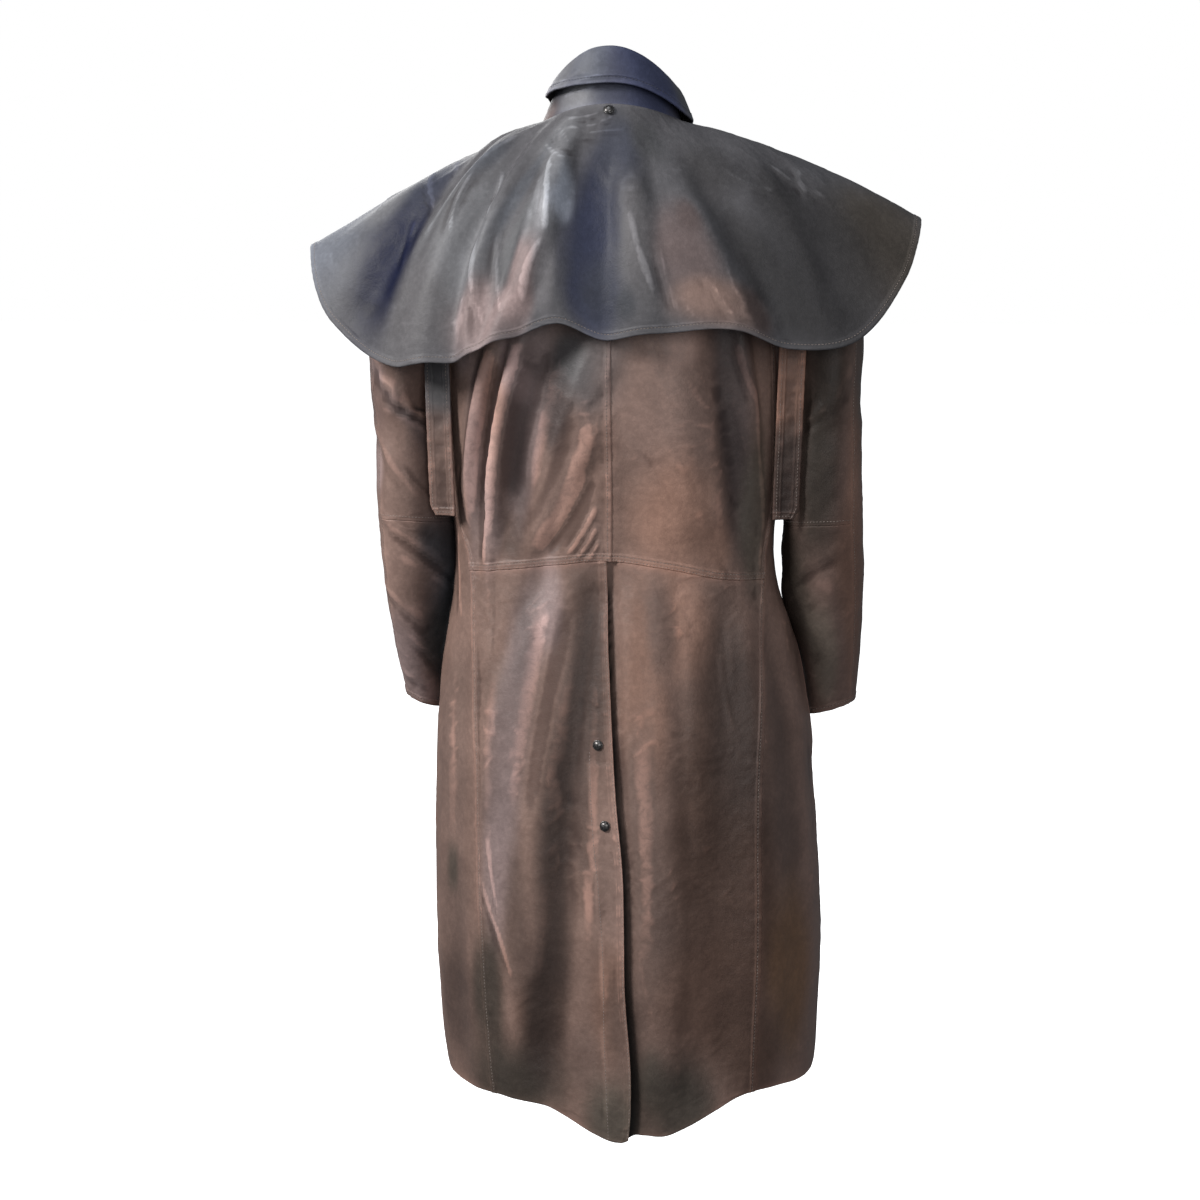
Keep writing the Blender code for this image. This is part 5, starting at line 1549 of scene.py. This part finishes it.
def sleeve_detail(row, turn, points, side):
    """Folds that run round the arm, and the leather's crumples."""
    height = np.zeros(row.shape)
    for row0, turn0, row1, turn1, width, depth in SLEEVE_CREASES:
        slip = 0.35 if side < 0 else 0.0
        share = (turn - turn0) / (turn1 - turn0)
        off = (row - slip - lerp(row0, row1, share) - 0.25 * share * (1 - share)) / width
        ends = smooth_step(share / 0.25) * smooth_step((1 - share) / 0.25)
        height += depth * ends * (np.exp(-(off ** 2)) - 0.45 * np.exp(-(((off - 1.7) / 1.2) ** 2)))
    height *= 1.0 if side > 0 else 0.35
    height += 0.0005 * ripples(points, 0.045, 8, 13)
    height += 0.0005 * crumple(points, 0.030, 23) - 0.0003 * crumple(points, 0.016, 33)
    return height * smooth_step((row - 0.3) / 2.0)


def sleeve_fullness(row, turn, hand):
    """How far the sleeve's inner side fills out towards the body."""
    height = np.zeros(row.shape)
    for start, end, depth in SLEEVE_FULLNESS[hand]:
        height += depth * bump(turn - 180.0, 42.0) * fade(row, start, end, 0.8)
    return height * smooth_step(row / 0.6)


# Degrees by which the upper sleeve laps over the lower one at the long seams
SLEEVE_LAP = 0.9
# Metres by which the sleeve's first row runs into the armhole
SLEEVE_TUCK = 0.007


def sleeve_panel(side, hand, first, final, top, bottom, seams):
    middle = np.array((top + bottom) / 2)
    turns = np.linspace(first, final, 60)
    ring = sleeve_point(side, np.full(60, middle), turns)
    wide = float(np.linalg.norm(np.diff(ring, axis=0), axis=1).sum())
    rows = np.linspace(top, bottom, 80)
    line = sleeve_point(side, rows, np.full(80, (first + final) / 2))
    steps = np.linalg.norm(np.diff(line, axis=0), axis=1)
    way = np.concatenate([[0.0], np.cumsum(steps)])
    u, v = np.meshgrid(spaced(wide, SLEEVE_STEP), spaced(float(way[-1]), SLEEVE_STEP))
    lap = SLEEVE_LAP if final < 300.0 else 0.0
    turn = lerp(first - lap, final + lap, u)
    row = np.interp(v * way[-1], way, rows)
    base = sleeve_point(side, row, turn)
    base[..., 0] -= side * SLEEVE_TUCK * (1.0 - smooth_step(row / 0.9))
    axis = (sleeve_point(side, row, 0.0 * turn) + sleeve_point(side, row, 0.0 * turn + 180.0)) / 2
    panel = Panel(base, base - axis)
    panel.height += sleeve_detail(row, turn, base, side) + sleeve_fullness(row, turn, hand)
    panel.sew(seams)
    panel.tone = painted(SLEEVE_BROWN, SLEEVE_TONES[hand], turn, row, base)
    return panel


def make_sleeves():
    for side, hand in HANDS:
        cuff, elbow = edges("plain plain plain fold"), edges("plain plain plain plain")
        pieces = (
            ("sleeve_upper_" + hand, FORE_SEAM, HIND_SEAM, 0.0, LAST_ROW, cuff),
            ("sleeve_under_top_" + hand, HIND_SEAM, FORE_SEAM + 360.0, 0.0, ELBOW_ROW - 0.001, elbow),
            ("sleeve_under_low_" + hand, HIND_SEAM, FORE_SEAM + 360.0, ELBOW_ROW + 0.001, LAST_ROW, cuff),
        )
        made = {}
        for name, first, final, top, bottom, seams in pieces:
            made[name] = sleeve_panel(side, hand, first, final, top, bottom, seams)
            sheet_of(name, made[name], LEATHER, sleeve_finish)
        upper, under, low = made.values()
        rows = [row_at(upper, "far", WELT_ROW, 0.05), row_at(upper, "bottom", FOLD_ROW)]
        rows += [row_at(low, "bottom", FOLD_ROW), row_at(under, "bottom", WELT_ROW)]
        sewn("sleeve_stitching_" + hand, rows)


def make_cape():
    first, last = CAPE[0][0], CAPE[-1][0]
    angles = np.linspace(first, last, 400)
    hem = cape_point(angles, np.full(400, 0.8))
    way = np.concatenate([[0.0], np.cumsum(np.linalg.norm(np.diff(hem, axis=0), axis=1))])
    u, v = np.meshgrid(spaced(float(way[-1]), CAPE_STEP), spaced(0.250, CAPE_STEP))
    angle = np.interp(u * way[-1], way, angles)
    base = cape_point(angle, v)
    panel = Panel(base, base + np.array([0.0, 0.0, 0.4]))
    panel.height += cape_detail(angle, v, base)
    panel.sew(edges("fold fold plain fold"))
    panel.tone = painted(CAPE_BASE, CAPE_TONES, angle, v, base)
    sheet_of("cape", panel, LEATHER, cape_finish)
    sewn("cape_stitching", [row_at(panel, edge, FOLD_ROW) for edge in ("bottom", "near", "far")])


# Soft ridges across the collar: angle and share of its depth at each end, width and height
COLLAR_RIDGES = (
    (-58.0, 0.7, 30.0, 0.86, 0.07, 0.0009),
    (20.0, 0.6, 66.0, 0.82, 0.06, 0.001),
    (-70.0, 0.4, -10.0, 0.52, 0.06, -0.0008),
    (4.0, 0.3, 52.0, 0.4, 0.06, 0.0008),
    (-30.0, 0.88, 26.0, 0.93, 0.05, -0.0008),
)
# Collar tones: painted highlight on the lit left, painted shade and a painted bluish reflection to the
# right, and painted shade on the stand's left under the fall
COLLAR_TONES = {
    "collar_stand": (
        (80.0, 0.5, 40.0, 0.9, 0.0, "grey", 0.035, 0.94),
        (70.0, 0.22, 20.0, 0.24, 0.0, "mauve", 0.15, 0.85),
        (28.0, 0.3, 24.0, 0.4, 0.0, "slate", 0.22, 0.88),
        (0.0, 0.5, 20.0, 0.5, 0.0, "dusk", 0.12, 0.85),
        (-34.0, 0.4, 30.0, 0.7, 0.0, "indigo", 0.1, 0.9),
    ),
    "collar_fall": (
        (78.0, 0.3, 22.0, 0.8, 0.0, "grey", 0.31, 0.9),
        (44.0, 0.35, 16.0, 0.8, 0.0, "slate", 0.18, 0.8),
        (14.0, 0.45, 18.0, 0.7, 0.0, "steel", 0.15, 0.8),
        (-34.0, 0.5, 36.0, 0.9, 0.0, "indigo", 0.1, 0.94),
        (-84.0, 0.6, 24.0, 0.6, 0.0, "slate", 0.085, 0.85),
    ),
}


def make_collar():
    rows = []
    for name, table, front, tall in (
        ("collar_stand", COLLAR_STAND, COLLAR_FRONT_ANGLE, 0.05),
        ("collar_fall", COLLAR_FALL, FALL_FRONT_ANGLE, 0.075),
    ):
        u, v = np.meshgrid(spaced(0.50, 0.0036), spaced(tall, 0.0030))
        reach = front - (14.0 * v if name == "collar_fall" else 0.0)
        angle = lerp(-reach, reach, u)
        if name == "collar_fall":
            v = v * (1.0 - 0.46 * bump(angle - 94.0, 56.0))
        base = collar_point(table, angle, v)
        if name == "collar_stand":
            flare = (bump(angle - 84.0, 34.0) * (1.0 - v) ** 1.4)[..., None]
            base = base * (1.0 + flare * np.array([0.17, 0.08, 0.0])) - flare * np.array([0.0, 0.0, 0.008])
        panel = Panel(base, base * np.array([1.0, 1.0, 0.0]) + np.array([0.0, 0.0, 0.02]))
        panel.height += collar_folds(angle, v)
        panel.height += 0.0004 * ripples(base, 0.045, 8, 14) + 0.0003 * crumple(base, 0.026, 24)
        panel.sew(edges("fold fold plain fold"))
        panel.tone = painted(COLLAR_BASE, COLLAR_TONES[name], angle, v, base)
        sheet_of(name, panel, DOUBLE_LEATHER, collar_finish)
        if name == "collar_fall":
            rows += [row_at(panel, edge, FOLD_ROW) for edge in ("bottom", "near", "far")]
    sewn("collar_stitching", rows, dark_thread_finish)


def collar_folds(angle, along):
    height = np.zeros(angle.shape)
    for angle0, along0, angle1, along1, width, depth in COLLAR_RIDGES:
        share = (angle - angle0) / (angle1 - angle0)
        off = (along - lerp(along0, along1, share) - 0.10 * share * (1 - share)) / width
        height += depth * smooth_step(share / 0.3) * smooth_step((1 - share) / 0.3) * np.exp(-(off ** 2))
    return height


# Hue and lightness of the straps at their top and their bottom
STRAP_TONES = {
    "left": (("grey", 0.07), ("brown", 0.15)),
    "right": (("russet", 0.22), ("brown", 0.06)),
}


def make_straps():
    for hand, top_x, top_y, bottom_x, bottom_y in STRAPS:
        side = 1 if hand == "left" else -1
        u, v = np.meshgrid(spaced(STRAP_WIDTH, 0.0026), spaced(STRAP_TOP_Z - STRAP_BOTTOM_Z, 0.0032))
        base = strap_point(side, top_x, top_y, bottom_x, bottom_y, u, v)
        panel = Panel(base, np.array([0.0, 1.0, 0.0]))
        panel.height += 0.0005 * ripples(base, 0.030, 8, 15) + 0.0004 * crumple(base, 0.020, 25)
        panel.sew(edges("fold fold plain fold"))
        upper, lower = STRAP_TONES[hand]
        share = smooth_step((v - 0.45) / 0.2 + 0.1 * ripples(base, 0.04, 6, 16))[..., None]
        panel.tone = lerp(tint(*upper), tint(*lower), share)
        name = "back_strap_" + hand
        sheet_of(name, panel, DOUBLE_LEATHER, brown_finish)
        rows = [row_at(panel, edge, STRAP_ROW) for edge in ("near", "far", "bottom")]
        sewn("strap_stitching_" + hand, rows)


SNAP_RADIUS = 0.0062
FRONT_SNAPS = 5
# Name, metres past the centre and distance down
VENT_SNAPS = (("vent_snap_upper", 0.0098, 0.738), ("vent_snap_lower", 0.0052, 0.831))


def snap_form():
    """A domed cap with a rolled rim and a groove inside it, standing on z = 0."""
    bpy.ops.object.select_all(action="DESELECT")
    bpy.ops.mesh.primitive_circle_add(vertices=40, radius=SNAP_RADIUS * 0.94, fill_type="NGON")
    obj = bpy.context.active_object
    bpy.ops.object.mode_set(mode="EDIT")
    bpy.ops.mesh.select_all(action="SELECT")
    # Each step of the cap: how far the face above it rises and how much narrower it is
    rim = ((0.0003, 1.06), (0.0005, 1.0), (0.0003, 0.95), (0.0000, 0.93), (-0.0003, 0.96))
    dome = ((0.0007, 0.97), (0.0006, 0.90), (0.0005, 0.82), (0.0004, 0.74), (0.0003, 0.62), (0.0001, 0.40))
    for rise, narrowing in rim + dome:
        bpy.ops.mesh.extrude_region_move(TRANSFORM_OT_translate={"value": (0.0, 0.0, rise)})
        bpy.ops.transform.resize(value=(narrowing, narrowing, 1.0), center_override=(0.0, 0.0, 0.0))
    bpy.ops.mesh.poke()
    bpy.ops.mesh.select_all(action="SELECT")
    bpy.ops.mesh.normals_make_consistent(inside=False)
    bpy.ops.object.mode_set(mode="OBJECT")
    bpy.ops.object.shade_smooth_by_angle(angle=math.radians(50.0))
    return obj


def place_snap(form, name, base, outward, clearance):
    """A copy of the cap, turned and moved in its mesh."""
    outward = unit(np.array(outward))
    side = unit(np.cross(np.array([0.0, 0.0, 1.0]), outward))
    up = np.cross(outward, side)
    mesh = form.data.copy()
    mesh.name = name + "_cap"
    flat = np.empty(len(mesh.vertices) * 3)
    mesh.vertices.foreach_get("co", flat)
    points = flat.reshape(-1, 3)
    place = base + outward * clearance
    moved = place + points[:, 0:1] * side + points[:, 1:2] * up + points[:, 2:3] * outward
    mesh.vertices.foreach_set("co", moved.astype(np.float32).ravel())
    obj = bpy.data.objects.new(name + "_cap", mesh)
    bpy.context.scene.collection.objects.link(obj)
    mesh.materials.clear()
    mesh.materials.append(snap_finish)
    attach(obj, "root")
    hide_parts(name)


def surface_at(angle, down, step=0.6):
    """Place and outward direction of the body's smooth form at one spot."""
    base = body_point(angle, down)
    across = body_point(angle + step, down) - body_point(angle - step, down)
    along = body_point(angle, down + 0.005) - body_point(angle, down - 0.005)
    outward = unit(np.cross(across, along))
    return base, outward * math.copysign(1.0, float(np.dot(outward[:2], base[:2])))


def make_snaps():
    form = snap_form()
    for name, past, down in VENT_SNAPS:
        base, outward = surface_at(float(degrees_of(past, down)), down)
        place_snap(form, name, base, outward, 0.0030)
    angle = lerp(float(front_edge(1.0)), FRONT_LAP_EDGE, 1.0 - 1.0 / 9)
    for number in range(FRONT_SNAPS):
        down = float(hem_line(angle)) * (number + 1) / 10
        base, outward = surface_at(angle, down)
        place_snap(form, "front_snap_" + str(number + 1), base, outward, 0.0012)
    place_snap(form, "neck_snap", cape_point(0.0, 0.03), (0.0, 0.8, 0.6), 0.0014)
    bpy.data.objects.remove(form, do_unlink=True)


waxed_hide = waxed_hide_group()
brown_finish = leather("brown_leather", waxed_hide, (2.0, 1.8, 1.74), 0.40, 0.34, 0.28)
sleeve_finish = leather("sleeve_leather", waxed_hide, (1.5, 1.42, 1.4), 0.42, 0.34, 0.22)
cape_finish = leather("cape_leather", waxed_hide, (1.9, 1.9, 1.9), 0.40, 0.26, 0.13)
collar_finish = leather("collar_leather", waxed_hide, (1.9, 1.9, 2.0), 0.42, 0.26, 0.16)
inside_finish = plain_finish("leather_inside", (0.040, 0.030, 0.026), 0.85, 0.0, 300.0, 0.0002, 0.25)
thread_finish = plain_finish("waxed_thread", (0.210, 0.170, 0.150), 0.65, 0.0, 900.0, 0.0002, 0.30)
dark_thread_finish = plain_finish("dark_thread", (0.060, 0.062, 0.085), 0.65, 0.0, 900.0, 0.0002, 0.30)
snap_finish = plain_finish("blackened_snap", (0.105, 0.100, 0.098), 0.34, 0.9, 500.0, 0.00006, 0.35)

make_body()
make_sleeves()
make_cape()
make_collar()
make_straps()
make_snaps()


FLOOR_Z = -1.50
FLOOR_GLOW = 1.0
WORLD_LIGHT = 0.16
KEY_PLACE = (2.7, 1.75, 1.35)
KEY_POWER = 150.0
OVERHEAD_POWER = 22.0
BACK_POWER = 44.0
FRONT_POWER = 45.0


def area_light(name, place, target, size, power, colour=(1.0, 1.0, 1.0)):
    light = bpy.data.lights.new(name, "AREA")
    light.energy = power
    light.size = size
    light.color = colour
    obj = bpy.data.objects.new(name, light)
    obj.location = place
    toward = Vector(target) - Vector(place)
    obj.rotation_euler = toward.to_track_quat("-Z", "Y").to_euler()
    bpy.context.scene.collection.objects.link(obj)


def make_stage():
    """A pale floor below the coat, where its wearer would stand, and a pale world."""
    bpy.ops.object.select_all(action="DESELECT")
    bpy.ops.mesh.primitive_plane_add(size=60.0, location=(0.0, 0.0, FLOOR_Z))
    floor = bpy.context.active_object
    floor.name = "floor"
    material = bpy.data.materials.new("pale_floor")
    material.use_nodes = True
    shader = material.node_tree.nodes["Principled BSDF"]
    shader.inputs["Base Color"].default_value = (0.90, 0.90, 0.90, 1.0)
    shader.inputs["Roughness"].default_value = 0.9
    shader.inputs["Emission Color"].default_value = (1.0, 1.0, 1.0, 1.0)
    shader.inputs["Emission Strength"].default_value = FLOOR_GLOW
    floor.data.materials.append(material)
    # The floor glows like a light table, but lights nothing
    floor.visible_diffuse = False
    floor.visible_glossy = False
    world = bpy.data.worlds.new("studio")
    world.use_nodes = True
    tree = world.node_tree
    background = tree.nodes["Background"]
    seen = add_node(tree, "ShaderNodeBackground")
    seen.inputs["Color"].default_value = (1.0, 1.0, 1.0, 1.0)
    seen.inputs["Strength"].default_value = 1.0
    background.inputs["Color"].default_value = (0.86, 0.92, 1.0, 1.0)
    background.inputs["Strength"].default_value = WORLD_LIGHT
    rays = add_node(tree, "ShaderNodeLightPath")
    either = add_node(tree, "ShaderNodeMixShader")
    tree.links.new(rays.outputs["Is Camera Ray"], either.inputs[0])
    tree.links.new(background.outputs[0], either.inputs[1])
    tree.links.new(seen.outputs[0], either.inputs[2])
    tree.links.new(either.outputs[0], tree.nodes["World Output"].inputs["Surface"])
    bpy.context.scene.world = world
    area_light("key", KEY_PLACE, (0.0, 0.0, -0.5), 1.0, KEY_POWER, (1.0, 0.985, 0.97))
    area_light("overhead", (0.3, 0.9, 2.6), (0.0, 0.0, -0.4), 1.4, OVERHEAD_POWER, (0.90, 0.95, 1.0))
    area_light("back_fill", (-0.9, 3.3, 0.5), (0.0, 0.0, -0.6), 2.0, BACK_POWER)
    area_light("front_fill", (1.4, -2.8, 1.0), (0.0, 0.0, -0.5), 2.0, FRONT_POWER)
    bpy.context.scene.view_settings.view_transform = "Standard"


PHOTO_SIZE = 1200.0
# The camera's place, its turn and pitch in degrees, its focal length and shift in the photograph's pixels
CAMERA_PLACE = (-0.209, 2.391, -0.150)
CAMERA_TURN = 5.0
CAMERA_PITCH = -10.3
CAMERA_FOCAL = 1985.0
CAMERA_SHIFT = -15.0


def make_camera():
    """The photograph's camera: behind the coat, a little to its right, looking slightly down."""
    camera = bpy.data.cameras.new("camera")
    camera.sensor_width = 36.0
    camera.lens = CAMERA_FOCAL * camera.sensor_width / PHOTO_SIZE
    camera.shift_x = CAMERA_SHIFT / PHOTO_SIZE
    obj = bpy.data.objects.new("camera", camera)
    obj.location = CAMERA_PLACE
    turn, pitch = math.radians(CAMERA_TURN), math.radians(CAMERA_PITCH)
    ahead = Vector((math.sin(turn) * math.cos(pitch), -math.cos(turn) * math.cos(pitch), math.sin(pitch)))
    obj.rotation_euler = ahead.to_track_quat("-Z", "Y").to_euler()
    bpy.context.scene.collection.objects.link(obj)
    bpy.context.scene.camera = obj


make_stage()
make_camera()
